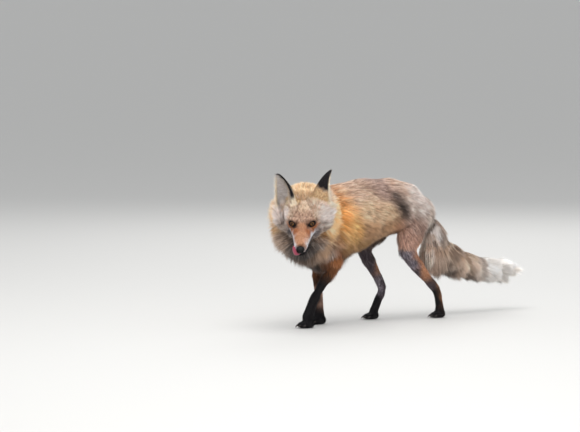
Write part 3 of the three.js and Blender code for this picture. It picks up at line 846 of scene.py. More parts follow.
def distances(points: Array, faces: Array, step: float, low: Array, high: Array, deep: float) -> Lattice:
    """Distances from a closed surface on a lattice.

    Args:
        points: the surface's points, in millimetres.
        faces: its triangles.
        step: the lattice's spacing.
        low: the lattice's lowest corner.
        high: its highest corner.
        deep: how far inside the surface distances are still needed.

    Returns:
        The lattice.
    """
    shape = np.ceil((high - low) / step).astype(int) + 1
    local = ((points - low) / step).astype(np.float32)
    grid = openvdb.FloatGrid.createLevelSetFromPolygons(
        local,
        triangles=faces.astype(np.uint32),
        transform=openvdb.createLinearTransform(1.0),
        halfWidth=deep / step + 3,
    )
    values = np.zeros(shape, np.float32)
    grid.copyToArray(values, ijk=(0, 0, 0))
    return Lattice(low, step, values * step)


# ---- Meshes and materials ------------------------------------------------------------------------


def make_object(name: str, points: Array, faces: Array, normals: Array | None = None) -> bpy.types.Object:
    """A mesh object from points in millimetres.

    Args:
        name: the object's name.
        points: its points.
        faces: its faces, all with the same number of corners.
        normals: a normal for each point, where the faces' own aren't wanted.

    Returns:
        The object, smooth-shaded and riding on the fox's one body.
    """
    mesh = bpy.data.meshes.new(name)
    corners = faces.shape[1]
    mesh.vertices.add(len(points))
    mesh.vertices.foreach_set("co", (points * MM).astype(np.float32).ravel())
    mesh.loops.add(faces.size)
    mesh.loops.foreach_set("vertex_index", faces.astype(np.int32).ravel())
    mesh.polygons.add(len(faces))
    mesh.polygons.foreach_set("loop_start", np.arange(0, faces.size, corners, dtype=np.int32))
    mesh.polygons.foreach_set("use_smooth", np.ones(len(faces), bool))
    mesh.update(calc_edges=True)
    if normals is not None:
        mesh.normals_split_custom_set_from_vertices(normals.astype(np.float32))
    piece = bpy.data.objects.new(name, mesh)
    bpy.context.scene.collection.objects.link(piece)
    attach(piece, "root")
    return piece


def paint(piece: bpy.types.Object, colours: Array, material: bpy.types.Material) -> None:
    """Gives a mesh its material and its linear colours, one for each point or one for all."""
    rgba = np.ones((len(piece.data.vertices), 4), np.float32)
    rgba[:, :3] = colours
    layer = piece.data.color_attributes.new(TINT, "FLOAT_COLOR", "POINT")
    layer.data.foreach_set("color", rgba.ravel())
    piece.data.materials.append(material)


def face_map(piece: bpy.types.Object, places: Array) -> None:
    """Stores a second map, OFBake, from a place for each point."""
    layer = piece.data.uv_layers.new(name="OFBake")
    corner = np.empty(len(piece.data.loops), np.int32)
    piece.data.loops.foreach_get("vertex_index", corner)
    layer.uv.foreach_set("vector", places[corner].astype(np.float32).ravel())


class Sheet:
    """A material's node sheet."""

    def __init__(self, name: str) -> None:
        """Starts a material with one Principled shader."""
        self.material = bpy.data.materials.new(name)
        self.material.use_nodes = True
        self.tree = self.material.node_tree
        self.shader = self.tree.nodes["Principled BSDF"]

    def node(self, kind: str, settings: dict[str, Any] | None = None, **inputs: Any) -> "Wire":
        """Adds a node.

        Args:
            kind: the node's type.
            settings: its settings, which are set first.
            **inputs: values or wires for its sockets, by name with _ for a space, or by place as _0 and _1.

        Returns:
            The wire of its first output.
        """
        node = self.tree.nodes.new(kind)
        for key, value in (settings or {}).items():
            setattr(node, key, value)
        for key, value in inputs.items():
            self.feed(node.inputs[int(key[1:]) if key[1:].isdigit() else key.replace("_", " ")], value)
        return Wire(self, next(out for out in node.outputs if out.enabled))

    def feed(self, socket: Any, value: Any) -> None:
        """Sets a socket to a value, or links a wire to it."""
        if isinstance(value, Wire):
            self.tree.links.new(value.socket, socket)
        else:
            socket.default_value = value

    def blend(self, share: Any, first: Any, second: Any, way: str = "MIX") -> "Wire":
        """Mixes two colours."""
        settings = {"data_type": "RGBA", "blend_type": way}
        mix = self.node("ShaderNodeMix", settings)
        for key, value in (("Factor_Float", share), ("A_Color", first), ("B_Color", second)):
            socket = next(s for s in mix.socket.node.inputs if s.identifier == key)
            self.feed(socket, (*value, 1.0) if isinstance(value, tuple) and len(value) == 3 else value)
        return mix

    def set(self, **values: Any) -> None:
        """Sets or links the Principled shader's sockets."""
        for key, value in values.items():
            self.feed(self.shader.inputs[key.replace("_", " ")], value)


class Wire:
    """A value that runs through a node sheet; sums of wires add Math nodes."""

    def __init__(self, sheet: Sheet, socket: Any) -> None:
        """Wraps a node's output."""
        self.sheet, self.socket = sheet, socket

    def _sum(self, operation: str, first: Any, second: Any) -> "Wire":
        """Adds one Math node."""
        return self.sheet.node("ShaderNodeMath", {"operation": operation}, _0=first, _1=second)

    def __add__(self, other: Any) -> "Wire":
        """self + other."""
        return self._sum("ADD", self, other)

    def __radd__(self, other: Any) -> "Wire":
        """other + self."""
        return self._sum("ADD", other, self)

    def __sub__(self, other: Any) -> "Wire":
        """self - other."""
        return self._sum("SUBTRACT", self, other)

    def __rsub__(self, other: Any) -> "Wire":
        """other - self."""
        return self._sum("SUBTRACT", other, self)

    def __mul__(self, other: Any) -> "Wire":
        """self * other."""
        return self._sum("MULTIPLY", self, other)

    def __rmul__(self, other: Any) -> "Wire":
        """other * self."""
        return self._sum("MULTIPLY", other, self)

    def __truediv__(self, other: Any) -> "Wire":
        """self / other."""
        return self._sum("DIVIDE", self, other)

    def __pow__(self, other: Any) -> "Wire":
        """self to a power."""
        return self._sum("POWER", self, other)


@dataclass(frozen=True)
class Finish:
    """A painted surface: its colour comes from the mesh, broken up by fine noise and bump."""

    name: str
    roughness: float = 0.6
    specular: float = 0.3
    grain: float = 400.0
    contrast: float = 0.25
    bump: float = 0.0
    bump_scale: float = 900.0
    sheen: float = 0.0
    coat: float = 0.0

    def material(self) -> bpy.types.Material:
        """Builds the finish's material."""
        sheet = Sheet(self.name)
        place = sheet.node("ShaderNodeTexCoord").socket.node.outputs["Object"]
        where = Wire(sheet, place)
        tint = sheet.node("ShaderNodeAttribute", {"attribute_name": TINT})
        noise = sheet.node("ShaderNodeTexNoise", None, Vector=where, Scale=self.grain, Detail=2.0)
        level = (noise - 0.5) * (2.0 * self.contrast) + 1.0
        grey = sheet.node("ShaderNodeCombineColor", None, Red=level, Green=level, Blue=level)
        sheet.set(Base_Color=sheet.blend(1.0, tint, grey, "MULTIPLY"))
        sheet.set(Roughness=self.roughness, Specular_IOR_Level=self.specular)
        if self.sheen:
            sheet.set(Sheen_Weight=self.sheen, Sheen_Roughness=0.5)
        if self.coat:
            sheet.set(Coat_Weight=self.coat, Coat_Roughness=0.03)
        if self.bump:
            fine = sheet.node("ShaderNodeTexNoise", None, Vector=where, Scale=self.bump_scale, Detail=3.0)
            sheet.set(Normal=sheet.node("ShaderNodeBump", None, Strength=self.bump, Distance=0.001, Height=fine))
        return sheet.material


FUR = Finish("fur", roughness=0.6, specular=0.2, grain=260.0, contrast=0.1, sheen=0.05)
HIDE = Finish("hide", roughness=0.85, specular=0.1, grain=600.0, contrast=0.3, bump=0.6)
WET_HIDE = Finish("nose_leather", roughness=0.45, specular=0.2, grain=900.0, contrast=0.2, bump=0.5, bump_scale=1500.0)
LID = Finish("lid_leather", roughness=0.6, specular=0.15, grain=900.0, contrast=0.2, bump=0.3)
TONGUE_FLESH = Finish(
    "tongue_flesh", roughness=0.3, specular=0.5, grain=1200.0, contrast=0.15, bump=0.35, bump_scale=2200.0
)
EYEBALL = Finish("eyeball", roughness=0.3, specular=0.15, grain=1500.0, contrast=0.12, coat=0.35)
HORN = Finish("claw_horn", roughness=0.35, specular=0.5, grain=700.0, contrast=0.25, bump=0.15)
BRISTLE = Finish("whisker", roughness=0.4, specular=0.4, grain=300.0, contrast=0.1)


# ---- Eyes ----------------------------------------------------------------------------------------


@dataclass(frozen=True)
class Eye:
    """One eyeball with its iris, and the opening of the lids over it."""

    side: int
    outward: float = 24.0
    upward: float = 30.0
    nudge: Point = (-1.2, 0.0, 2.8)
    iris: float = 31.0
    pupil: tuple[float, float] = (12.5, 18.0)
    across: float = 54.0
    above: float = 25.0
    below: float = 26.0
    slant: float = 19.0
    corner: float = 1.55
    lid: float = 1.8
    margin: float = 12.0
    join: float = 4.0
    opening: float = 1.12
    edge: float = 4.4
    socket: float = 2.5

    @property
    def name(self) -> str:
        """left or right."""
        return "left" if self.side > 0 else "right"

    def _aim(self) -> Array:
        """The eye's own frame: -Y looks out, and +X is towards the temple."""
        turned = turn("z", self.outward) @ turn("x", -self.upward) @ turn("y", -self.slant)
        return np.diag([self.side, 1, 1]) @ turned

    def _centre(self) -> Array:
        """The eyeball's centre in the head's frame."""
        return (np.array(FOX.eye_at) + self.nudge) * (self.side, 1, 1)

    def almond(self, points: Array) -> tuple[Array, Array]:
        """Where places lie over the opening.

        Args:
            points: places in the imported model, in millimetres.

        Returns:
            A measure that is 1 on the lids' edge and less in the opening, and the distance from
            the eyeball's centre.
        """
        local = (FOX.back(Home.HEAD, points) - self._centre()) @ self._aim()
        reach = np.linalg.norm(local, axis=1)
        across = np.degrees(np.arctan2(local[:, 0], -local[:, 1]))
        high = np.degrees(np.arcsin(np.clip(local[:, 2] / np.maximum(reach, 1e-6), -1, 1)))
        high = high - self._droop(across)
        tall = np.where(high > 0, self.above, self.below)
        power = np.abs(across / self.across) ** self.corner + np.abs(high / tall) ** self.corner
        return power ** (1 / self.corner), reach

    def _droop(self, across: Array) -> Array:
        """How far the opening's inner corner runs down, in degrees."""
        return -9.0 * np.clip(-across / self.across - 0.35, 0.0, 1.2)

    def carved(self, values: Array, spots: Array) -> Array:
        """Adds the lids to the head's field, and opens them.

        Args:
            values: the field.
            spots: its places.

        Returns:
            The field with lids.
        """
        centre = FOX.out(Home.HEAD, self._centre())
        near = np.linalg.norm(spots - centre, axis=1) < FOX.eye_radius + self.margin
        flat = values.reshape(-1).copy()
        almond, reach = self.almond(spots[near])
        lids = blend_least(flat[near], reach - (FOX.eye_radius + self.lid), self.join)
        opened = np.minimum((self.opening - almond) * self.edge, reach - (FOX.eye_radius - self.socket))
        flat[near] = np.maximum(lids, opened)
        return flat.reshape(values.shape)

    def build_ball(self) -> bpy.types.Object:
        """Makes the eyeball, with a slightly raised cornea."""
        rows, columns = 72, 96
        ways = ball_grid(rows, columns)
        angle = np.degrees(np.arccos(np.clip(-ways[:, 1], -1, 1)))
        radius = FOX.eye_radius + 0.7 * smooth(self.iris + 6, self.iris - 22, angle)
        points = FOX.out(Home.HEAD, (ways * radius[:, None]) @ self._aim().T + self._centre())
        faces = ring_faces(rows, columns)
        piece = make_object("eyeball_" + self.name, points, faces[:, ::-1] if self.side < 0 else faces)
        paint(piece, self._iris_colours(ways, angle), EYEBALL.material())
        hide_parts("eye_" + self.name)
        return piece

    def _iris_colours(self, ways: Array, angle: Array) -> Array:
        """An amber iris with rays, a dark limb round it and an upright pupil."""
        across = np.degrees(np.arctan2(ways[:, 0], -ways[:, 1]))
        high = np.degrees(np.arctan2(ways[:, 2], -ways[:, 1]))
        spin = np.arctan2(ways[:, 2], ways[:, 0])
        rays = 0.5 + 0.5 * np.sin(spin * 37 + 3 * np.sin(spin * 11))
        amber = srgb((122, 76, 18)) * (0.7 + 0.5 * rays[:, None])
        deep = srgb((62, 34, 9))
        ring = smooth(16, 32, angle)[:, None]
        colour = between(amber, deep, ring)
        limb = smooth(self.iris - 7, self.iris - 1, angle)[:, None]
        colour = between(colour, srgb((9, 6, 5)), limb)
        dark = smooth(1.12, 0.9, np.hypot(across / self.pupil[0], high / self.pupil[1]))[:, None]
        return between(colour, srgb((4, 3, 3)), dark)

    def build_rim(self) -> bpy.types.Object:
        """Makes the dark edge of both lids, which runs to a point at the inner corner."""
        columns, rows = 96, 11
        c, s = np.cos(circle(columns)), np.sin(circle(columns))
        across = self.across * np.sign(c) * np.abs(c) ** (2 / self.corner)
        tall = np.where(s > 0, self.above, self.below)
        high = tall * np.sign(s) * np.abs(s) ** (2 / self.corner)
        rings = []
        for t in np.linspace(0, 1, rows):
            grow = 0.92 + 0.6 * t
            u = across * grow
            v = np.radians(high * grow + self._droop(u))
            u = np.radians(u)
            ways = np.stack([np.sin(u) * np.cos(v), -np.cos(u) * np.cos(v), np.sin(v)], 1)
            swell = 1.75 * math.sin(math.pi * min(t * 1.05, 1.0) ** 0.7)
            rings.append(ways * (FOX.eye_radius + 0.55 + swell + 0.5 * t))
        local = np.concatenate(rings) @ self._aim().T + self._centre()
        faces = ring_faces(rows, columns)
        faces = faces if self.side < 0 else faces[:, ::-1]
        piece = make_object("eye_rim_" + self.name, FOX.out(Home.HEAD, local), faces)
        share = np.repeat(np.linspace(0, 1, rows), columns)[:, None]
        paint(piece, between(srgb((8, 6, 6)), srgb((20, 14, 13)), share), LID.material())
        return piece


EYES = (Eye(1), Eye(-1))


# ---- Skin ----------------------------------------------------------------------------------------


@dataclass
class Skin:
    """One skin in place of the nodes of flesh, below their surface by the coat's depth."""

    coat: Coat
    apart: tuple[str, ...] = ("eye_left", "eye_right", "nose", "tongue")
    body_step: float = 3.1
    head_step: float = 1.4
    seam: float = 62.0
    lap: float = 6.0
    deepest: float = 30.0
    full_coat: float = 14.0
    join: float = 3.0
    head_reach: tuple[float, float] = (130.0, 150.0)
    points: Array = field(default_factory=lambda: np.zeros((0, 3)))
    faces: Array = field(default_factory=lambda: np.zeros((0, 3), int))
    normals: Array = field(default_factory=lambda: np.zeros((0, 3)))

    def build(self) -> bpy.types.Object:
        """Makes the skin from two lattices, a fine one for the head and one for the rest."""
        flesh = [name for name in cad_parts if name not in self.apart]
        body = self._shell([n for n in flesh if not n.startswith("ear")], self.body_step, False)
        fine = self._shell(["head", "neck"], self.head_step, True)
        self.points, self.faces = joined((body[:2], fine[:2]))
        self.normals = np.concatenate([body[2], fine[2]])
        piece = make_object("skin", self.points, self.faces)
        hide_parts(*flesh)
        return piece

    def _shell(self, nodes: list[str], step: float, head: bool) -> tuple[Array, Array, Array]:
        """The skin of some nodes, on the head's side of the seam or on the body's.

        Args:
            nodes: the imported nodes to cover.
            step: the lattice's spacing.
            head: whether this is the head's side.

        Returns:
            Points, triangles and normals.
        """
        points, faces = triangles_of(nodes)
        extent = np.concatenate([points] + [ear.mesh()[0] for ear in EARS if head])
        low, high = extent.min(0) - 4 * step, extent.max(0) + 4 * step
        swell = 0.4 * step
        rough = distances(points, faces, step, low, high, 3 * step)
        rough.values -= swell
        shape = distances(*rough.surface(), step, low, high, self.deepest)
        shape.values += swell
        stride = 4 if head else 3
        coarse = [len(range(0, n, stride)) for n in shape.values.shape]
        depth = self.coat.measures(shape.spots(stride))["depth"].reshape(coarse)
        depth = shape.upsampled(depth, stride)
        spots = shape.spots()
        soft = np.clip(depth / self.full_coat, 0.0, 1.0)
        little = shape.blurred(1.0 * step if head else 0.8 * step)
        wide = shape.blurred(5.0 if head else 6.0)
        values = between(little, wide, soft) + depth
        back = FOX.back(Home.HEAD, spots)[:, 1].reshape(values.shape)
        if head:
            values = np.maximum(values, back - (self.seam + self.lap))
            for eye in EYES:
                values = eye.carved(values, spots)
            for ear in EARS:
                cone = distances(*ear.mesh(), step, low, high, 3 * step).values
                values = blend_least(values, cone, self.join)
        else:
            head_side = np.where(self._on_head(spots).reshape(values.shape), self.seam - back, -50.0)
            values = np.maximum(values, head_side)
        shape.values = values.astype(np.float32)
        verts, tris = self._largest(*shape.surface())
        return verts, tris, shape.slope(verts)

    def _on_head(self, spots: Array) -> Array:
        """Whether each spot belongs to the head rather than to a leg in front of it."""
        local = FOX.back(Home.HEAD, spots)
        aside, upward = self.head_reach
        return (np.abs(local[:, 0]) < aside) & (np.abs(local[:, 2]) < upward)

    @staticmethod
    def _largest(points: Array, faces: Array) -> tuple[Array, Array]:
        """Drops all but the largest connected sheet of a surface."""
        label = np.arange(len(points))
        while True:
            lowest = label[faces].min(1)
            fresh = label.copy()
            for k in range(3):
                np.minimum.at(fresh, faces[:, k], lowest)
            fresh = fresh[fresh]
            if np.array_equal(fresh, label):
                break
            label = fresh
        names, sizes = np.unique(label, return_counts=True)
        kept = label == names[sizes.argmax()]
        place = np.cumsum(kept) - 1
        return points[kept], place[faces[kept[faces[:, 0]]]]

    def dress(self, piece: bpy.types.Object) -> None:
        """Colours the skin as the coat's roots are."""
        found = self.coat.colours(self.points, self.normals)
        # The skin takes the roots' colours, painted shade in them included.
        paint(piece, found["deep"] * 0.55 + found["body"] * 0.45, HIDE.material())


# ---- Fur -----------------------------------------------------------------------------------------


LEG_PATHS: tuple[tuple[Point, ...], ...] = (
    ((47, -166, 200), (47, -152, 150), (40, -181, 108), (32, -206, 62), (26, -226, 0)),
    ((-47, -146, 200), (-46, -128, 148), (-38, -133, 104), (-30, -136, 58), (-26, -146, 0)),
    ((42, 90, 235), (46, 76, 170), (44, 122, 118), (42, 172, 72), (40, 186, 0)),
    ((-43, 56, 235), (-50, 22, 178), (-46, 44, 128), (-42, 74, 76), (-38, 36, 0)),
)
PATHS: dict[Part, tuple[Home, tuple[tuple[Point, ...], ...]]] = {
    Part.FACE: (H, (((0, -90, -18), (0, -40, -16), (0, 70, 0)),)),
    Part.RUFF: (H, (((0, 0, -16), (0, 110, -10)),)),
    Part.EARS: (B, ()),
    Part.NECK: (B, (((60, -270, 262), (14, -212, 253), (-2, -140, 254)),)),
    Part.CHEST: (B, (((4, -250, 220), (0, -40, 256)),)),
    Part.LOIN: (B, (((0, -60, 254), (0, 60, 268)),)),
    Part.RUMP: (B, (((0, 50, 268), (0, 180, 240)),)),
    Part.TAIL: (B, (((0, 170, 262), (0, 190, 230), (0, 222, 180), (0, 268, 142), (0, 330, 120), (0, 480, 102)),)),
    Part.FORELEGS: (B, LEG_PATHS[:2]),
    Part.HINDLEGS: (B, LEG_PATHS[2:]),
}


def tube_place(points: Array, path: Array) -> tuple[Array, Array, Array]:
    """How far along a path and which way round it each point lies.

    Args:
        points: places in millimetres.
        path: the path's points.

    Returns:
        The share of the path's length, the share of a turn, and the distance from the path.
    """
    runs = np.diff(path, axis=0)
    lengths = np.linalg.norm(runs, axis=1)
    starts = np.concatenate([[0.0], np.cumsum(lengths)])
    best = np.full(len(points), np.inf)
    along, round_ = np.zeros(len(points)), np.zeros(len(points))
    for start, run, length, before in zip(path[:-1], runs, lengths, starts):
        way = run / length
        share = np.clip((points - start) @ way, 0, length)
        offset = points - start - share[:, None] * way
        gap = np.linalg.norm(offset, axis=1)
        side = unit(np.cross(way, UP if abs(way[2]) < 0.8 else FRONT))
        high = np.cross(side, way)
        nearer = gap < best
        best = np.where(nearer, gap, best)
        along = np.where(nearer, before + share, along)
        round_ = np.where(nearer, np.arctan2(offset @ side, -(offset @ high)) / (2 * np.pi) + 0.5, round_)
    return along / starts[-1], round_, best


@dataclass(frozen=True)
class Lock:
    """How one coat piece is made: the number of its tufts and how they gather."""

    part: Part
    tufts: int
    clump: float
    gather: float
    droop: float = 0.0
    streak: float = 0.7


BLADE_POINTS = 5
BLADE = np.array([[0, 2, 1], [1, 2, 3], [2, 4, 3]])
BLADE_PATCH = np.array([[-1, -1], [1, -1], [-1, 0], [1, 0], [0, 1]]) * 0.0015
LOCKS = (
    Lock(Part.FACE, 64000, 3.0, 0.35, 0.0, 0.5),
    Lock(Part.RUFF, 64000, 5.0, 0.4, 0.06, 0.65),
    Lock(Part.EARS, 22000, 3.0, 0.2, 0.0, 0.3),
    Lock(Part.NECK, 60000, 5.5, 0.45, 0.1, 0.7),
    Lock(Part.CHEST, 62000, 5.5, 0.45, 0.06, 0.7),
    Lock(Part.LOIN, 46000, 5.0, 0.45, 0.06, 0.7),
    Lock(Part.RUMP, 34000, 5.0, 0.45, 0.05, 0.7),
    Lock(Part.TAIL, 62000, 9.0, 0.6, 0.12, 0.78),
    Lock(Part.FORELEGS, 34000, 4.0, 0.3, 0.0, 0.5),
    Lock(Part.HINDLEGS, 36000, 4.0, 0.3, 0.0, 0.55),
)


@dataclass
class Fur:
    """The coat's tufts: thin bent blades, rooted on the skin."""

    skin: Skin
    coat: Coat
    seed: int = 7
    thick: float = 0.62
    sunk: float = 0.8
    few: int = 4
    stout: float = 1.6

    def build(self) -> list[bpy.types.Object]:
        """Makes every coat piece."""
        corners = self.skin.points[self.skin.faces]
        middle = corners.mean(1)
        measures = self.coat.measures(middle, self.skin.normals[self.skin.faces].mean(1))
        area = np.linalg.norm(np.cross(corners[:, 1] - corners[:, 0], corners[:, 2] - corners[:, 0]), axis=1) / 2
        hidden = self._bare(middle)
        weight = area * ~hidden / (measures["width"] * measures["length"])
        material = FUR.material()
        pieces = []
        for lock in LOCKS:
            owned = np.where(measures["part"] == lock.part.rank, weight, 0.0)
            pieces.append(self._piece(lock, owned, material))
        return pieces

    @staticmethod
    def _bare(middle: Array) -> Array:
        """Whether a face of the skin is bare: on a lid's edge, under the nose, or on the floor."""
        bare = middle[:, 2] < 1.0
        for eye in EYES:
            almond, reach = eye.almond(middle)
            bare |= (almond < 1.44) & (reach < FOX.eye_radius + 6)
        local = FOX.back(Home.HEAD, middle)
        nose_at, nose_half = (0, -80, -16), (11, 9, 9)
        nose = ((local - nose_at) / nose_half) ** 2
        return bare | (nose.sum(1) < 1.0)

    def _piece(self, lock: Lock, weight: Array, material: bpy.types.Material) -> bpy.types.Object:
        """Makes one coat piece.

        Args:
            lock: how the piece is made.
            weight: how likely each face of the skin is to root a tuft.
            material: the fur's material.

        Returns:
            The piece.
        """
        rng = np.random.default_rng(self.seed + lock.part.rank)
        count = lock.tufts
        share = np.cumsum(weight) / weight.sum()
        chosen = np.searchsorted(share, (np.arange(count) + rng.random(count)) / count).clip(0, len(weight) - 1)
        one, two = rng.random((2, count))
        flip = one + two > 1
        one, two = np.where(flip, 1 - one, one), np.where(flip, 1 - two, two)
        mix = np.stack([1 - one - two, one, two], 1)
        corner = self.skin.faces[chosen]
        root = (self.skin.points[corner] * mix[..., None]).sum(1)
        normal = unit((self.skin.normals[corner] * mix[..., None]).sum(1))
        found = self.coat.measures(root, normal)
        tint = self.coat.colours(root + 0.6 * found["length"][:, None] * found["lie"], normal)
        points, normals, colours = self._blades(lock, rng, root, normal, found, tint)
        base = np.arange(count)[:, None] * BLADE_POINTS
        faces = (base[:, None] + BLADE[None]).reshape(-1, 3)
        piece = make_object("coat_" + lock.part.value, points, faces, normals)
        paint(piece, colours, material)
        face_map(piece, self._map(lock.part, root))
        return piece

    def _blades(
        self,
        lock: Lock,
        rng: np.random.Generator,
        root: Array,
        normal: Array,
        found: dict[str, Array],
        tint: dict[str, Array],
    ) -> tuple[Array, Array, Array]:
        """Shapes and colours the tufts.

        Args:
            lock: how the piece is made.
            rng: the piece's own random numbers.
            root: each tuft's root.
            normal: the skin's normal there.
            found: the coat's measures there.
            tint: the coat's colours there.

        Returns:
            Five points, normals and colours for each tuft.
        """
        count = len(root)
        lie = found["lie"] - (found["lie"] * normal).sum(1, keepdims=True) * normal
        lie = unit(lie + rng.normal(0, 0.12, (count, 3)))
        lie = unit(lie - (lie * normal).sum(1, keepdims=True) * normal)
        length = found["length"] * rng.uniform(0.75, 1.12, count)
        lift = np.radians(found["lift"] * rng.uniform(0.7, 1.2, count))
        rise, run = np.sin(lift)[:, None], np.cos(lift)[:, None]
        steep = np.minimum(lift * 1.5, 1.2)
        middle = root + 0.5 * length[:, None] * (np.cos(steep)[:, None] * lie + np.sin(steep)[:, None] * normal)
        tip = root + length[:, None] * (run * lie + rise * normal)
        drop = lock.droop * length[:, None] * UP
        middle, tip = middle - drop * 0.25, tip - drop
        group, lead = self._clumps(rng, root, lock.clump)
        pull = lock.gather * rng.uniform(0.5, 1.2, count)[:, None]
        tip += (tip[lead] - tip) * pull
        middle += (middle[lead] - middle) * pull * 0.4
        side = unit(np.cross(normal, lie) + rng.normal(0, 0.25, (count, 3)))
        side = unit(side - (side * lie).sum(1, keepdims=True) * lie)
        thick = self.thick * 1.0
        width = (thick * found["width"] * rng.uniform(0.7, 1.3, count))[:, None]
        half = side * width * 0.5
        low = root - self.sunk * normal
        points = np.stack([low - half, low + half, middle - half * 0.9, middle + half * 0.9, tip], 1)
        blade = unit(np.cross(tip - root, side))
        blade *= np.sign((blade * normal).sum(1, keepdims=True))
        facing = unit(0.65 * normal + 0.35 * blade)
        tilt = np.array([-0.6, 0.6, -0.5, 0.5, 0.0])
        normals = unit(facing[:, None] + tilt[None, :, None] * side[:, None])
        colours = self._tints(rng, lock.streak, group, tint)
        return points.reshape(-1, 3), normals.reshape(-1, 3), colours.reshape(-1, 3)

    @staticmethod
    def _clumps(rng: np.random.Generator, root: Array, size: float) -> tuple[Array, Array]:
        """Gathers tufts round leaders.

        Args:
            rng: the piece's own random numbers.
            root: the tufts' roots.
            size: how far apart the leaders are.

        Returns:
            Each tuft's clump and the tuft that leads it.
        """
        cell = np.floor(root / size + rng.random(3)).astype(int)
        _, first = np.unique(cell, axis=0, return_index=True)
        tree = kdtree.KDTree(len(first))
        for k, index in enumerate(first):
            tree.insert(root[index], k)
        tree.balance()
        group = np.array([tree.find(p)[1] for p in root])
        return group, first[group]

    @staticmethod
    def _tints(rng: np.random.Generator, streak: float, group: Array, tint: dict[str, Array]) -> Array:
        """Colours each tuft from root to tip, with pale and dark hairs among the rest.

        Args:
            rng: the piece's own random numbers.
            streak: how far pale and dark hairs keep to their clump.
            group: each tuft's clump.
            tint: the coat's colours at each root.

        Returns:
            Five colours for each tuft.
        """
        count = len(group)
        shade = rng.normal(1.0, 0.2 * streak, (group.max() + 1))[group] * rng.normal(1.0, 0.08, count)
        kind = streak * rng.random(group.max() + 1)[group] + (1 - streak) * rng.random(count)
        kind = np.argsort(np.argsort(kind)) / count
        pale = smooth(0.0, 0.06, kind - (1 - tint["pale"]))[:, None] * 0.8
        dark = smooth(0.06, 0.0, kind - tint["dark"] + 0.03)[:, None] * 0.65
        shade = shade.clip(0.6, 1.5)[:, None]
        deep, body, tip = (tint[key] * shade for key in TONES)
        light = np.clip(tip * 1.25 + 0.08 * srgb((250, 244, 238)), 0, 0.9)
        body = body * (1 - pale * 0.6) + light * pale * 0.6
        tip = between(tip, light, pale)
        body = between(body, tint["deep"], dark)
        tip = between(tip, tint["deep"] * 1.3, dark)
        # Roots darker still: painted shade between the tufts, over the underfur's own tone.
        base = deep * 0.85
        return np.stack([base, base, body, body, tip], 1)

    def _map(self, part: Part, root: Array) -> Array:
        """A small patch for each tuft at its root's place on the unrolled skin."""
        if part is Part.EARS:
            local = [FOX.back(home, root) for home in (Home.EAR_LEFT, Home.EAR_RIGHT)]
            right = np.linalg.norm(local[1][:, :2], axis=1) < np.linalg.norm(local[0][:, :2], axis=1)
            place = np.where(right[:, None], local[1], local[0])
            turned = np.arctan2(place[:, 0], place[:, 1]) / (2 * np.pi) + 0.5
            turned = (turned + right) / 2
            along = np.clip(place[:, 2] / 95.0, 0, 1)
        else:
            home, paths = PATHS[part]
            found = [tube_place(root, FOX.out(home, np.array(path, float))) for path in paths]
            nearest = np.argmin([gap for _, _, gap in found], axis=0)
            pick = (nearest, np.arange(len(root)))
            along = np.array([a for a, _, _ in found])[pick]
            turned = (np.array([t for _, t, _ in found])[pick] + nearest) / len(paths)
        centre = np.stack([turned, along], 1)
        low, high = centre.min(0), centre.max(0)
        border, room = 0.004, 0.992
        centre = border + room * (centre - low) / np.maximum(high - low, 1e-6)
        return (centre[:, None] + BLADE_PATCH[None]).reshape(-1, 2)


# ---- Nose, lips, tongue, whiskers and claws ------------------------------------------------------


@dataclass
class Nose:
    """The black pad with its nostrils."""

    at: Point = (0.0, -76.5, -16.5)
    half: Point = (9.8, 9.0, 8.2)

    def build(self) -> bpy.types.Object:
        """Makes the pad, rounded above, with a groove below and two nostrils."""
        rows, columns = 90, 120
        ways = ball_grid(rows, columns)
        x, y, z = ways.T
        shape = np.stack([np.sign(x) * np.abs(x) ** 0.85, y, np.sign(z) * np.abs(z) ** 0.85], 1) * self.half
        # The nostrils and slits are painted darker than the pad: painted shade inside them.
        shape[:, 0] *= 1 - 0.22 * smooth(0.1, -0.9, z)
        nostril_shade = np.zeros(len(ways))
        for side in (1, -1):
            place = unit(np.array([0.52 * side, -0.82, -0.02]))
            gap = np.hypot((x - place[0]) / 0.2, (z - place[2] + 0.25 * (x * side - 0.5)) / 0.17)
            hole = smooth(1.15, 0.4, gap) * (y < 0)
            shape += hole[:, None] * np.array([0, 5.0, 0.8])
            nostril_shade = np.maximum(nostril_shade, hole)
            slit = smooth(0.07, 0.0, np.abs(z + 0.12 + 0.1 * (x * side - 0.7)))
            slit = slit * smooth(0.6, 0.75, x * side) * (y < 0.35)
            shape += slit[:, None] * np.array([-1.4 * side, 0.6, 0])
            nostril_shade = np.maximum(nostril_shade, slit * 0.8)
        groove = smooth(0.07, 0.0, np.abs(x)) * smooth(0.15, -0.2, z) * (y < 0)
        shape[:, 1] += 1.3 * groove
        points = FOX.out(Home.HEAD, shape + np.array(self.at))
        piece = make_object("nose_pad", points, ring_faces(rows, columns))
        # Painted shade in the nostrils and slits darkens the black pad there.
        paint(piece, srgb((8, 7, 8))[None] * (1 - 0.75 * nostril_shade[:, None]), WET_HIDE.material())
        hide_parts("nose")
        return piece


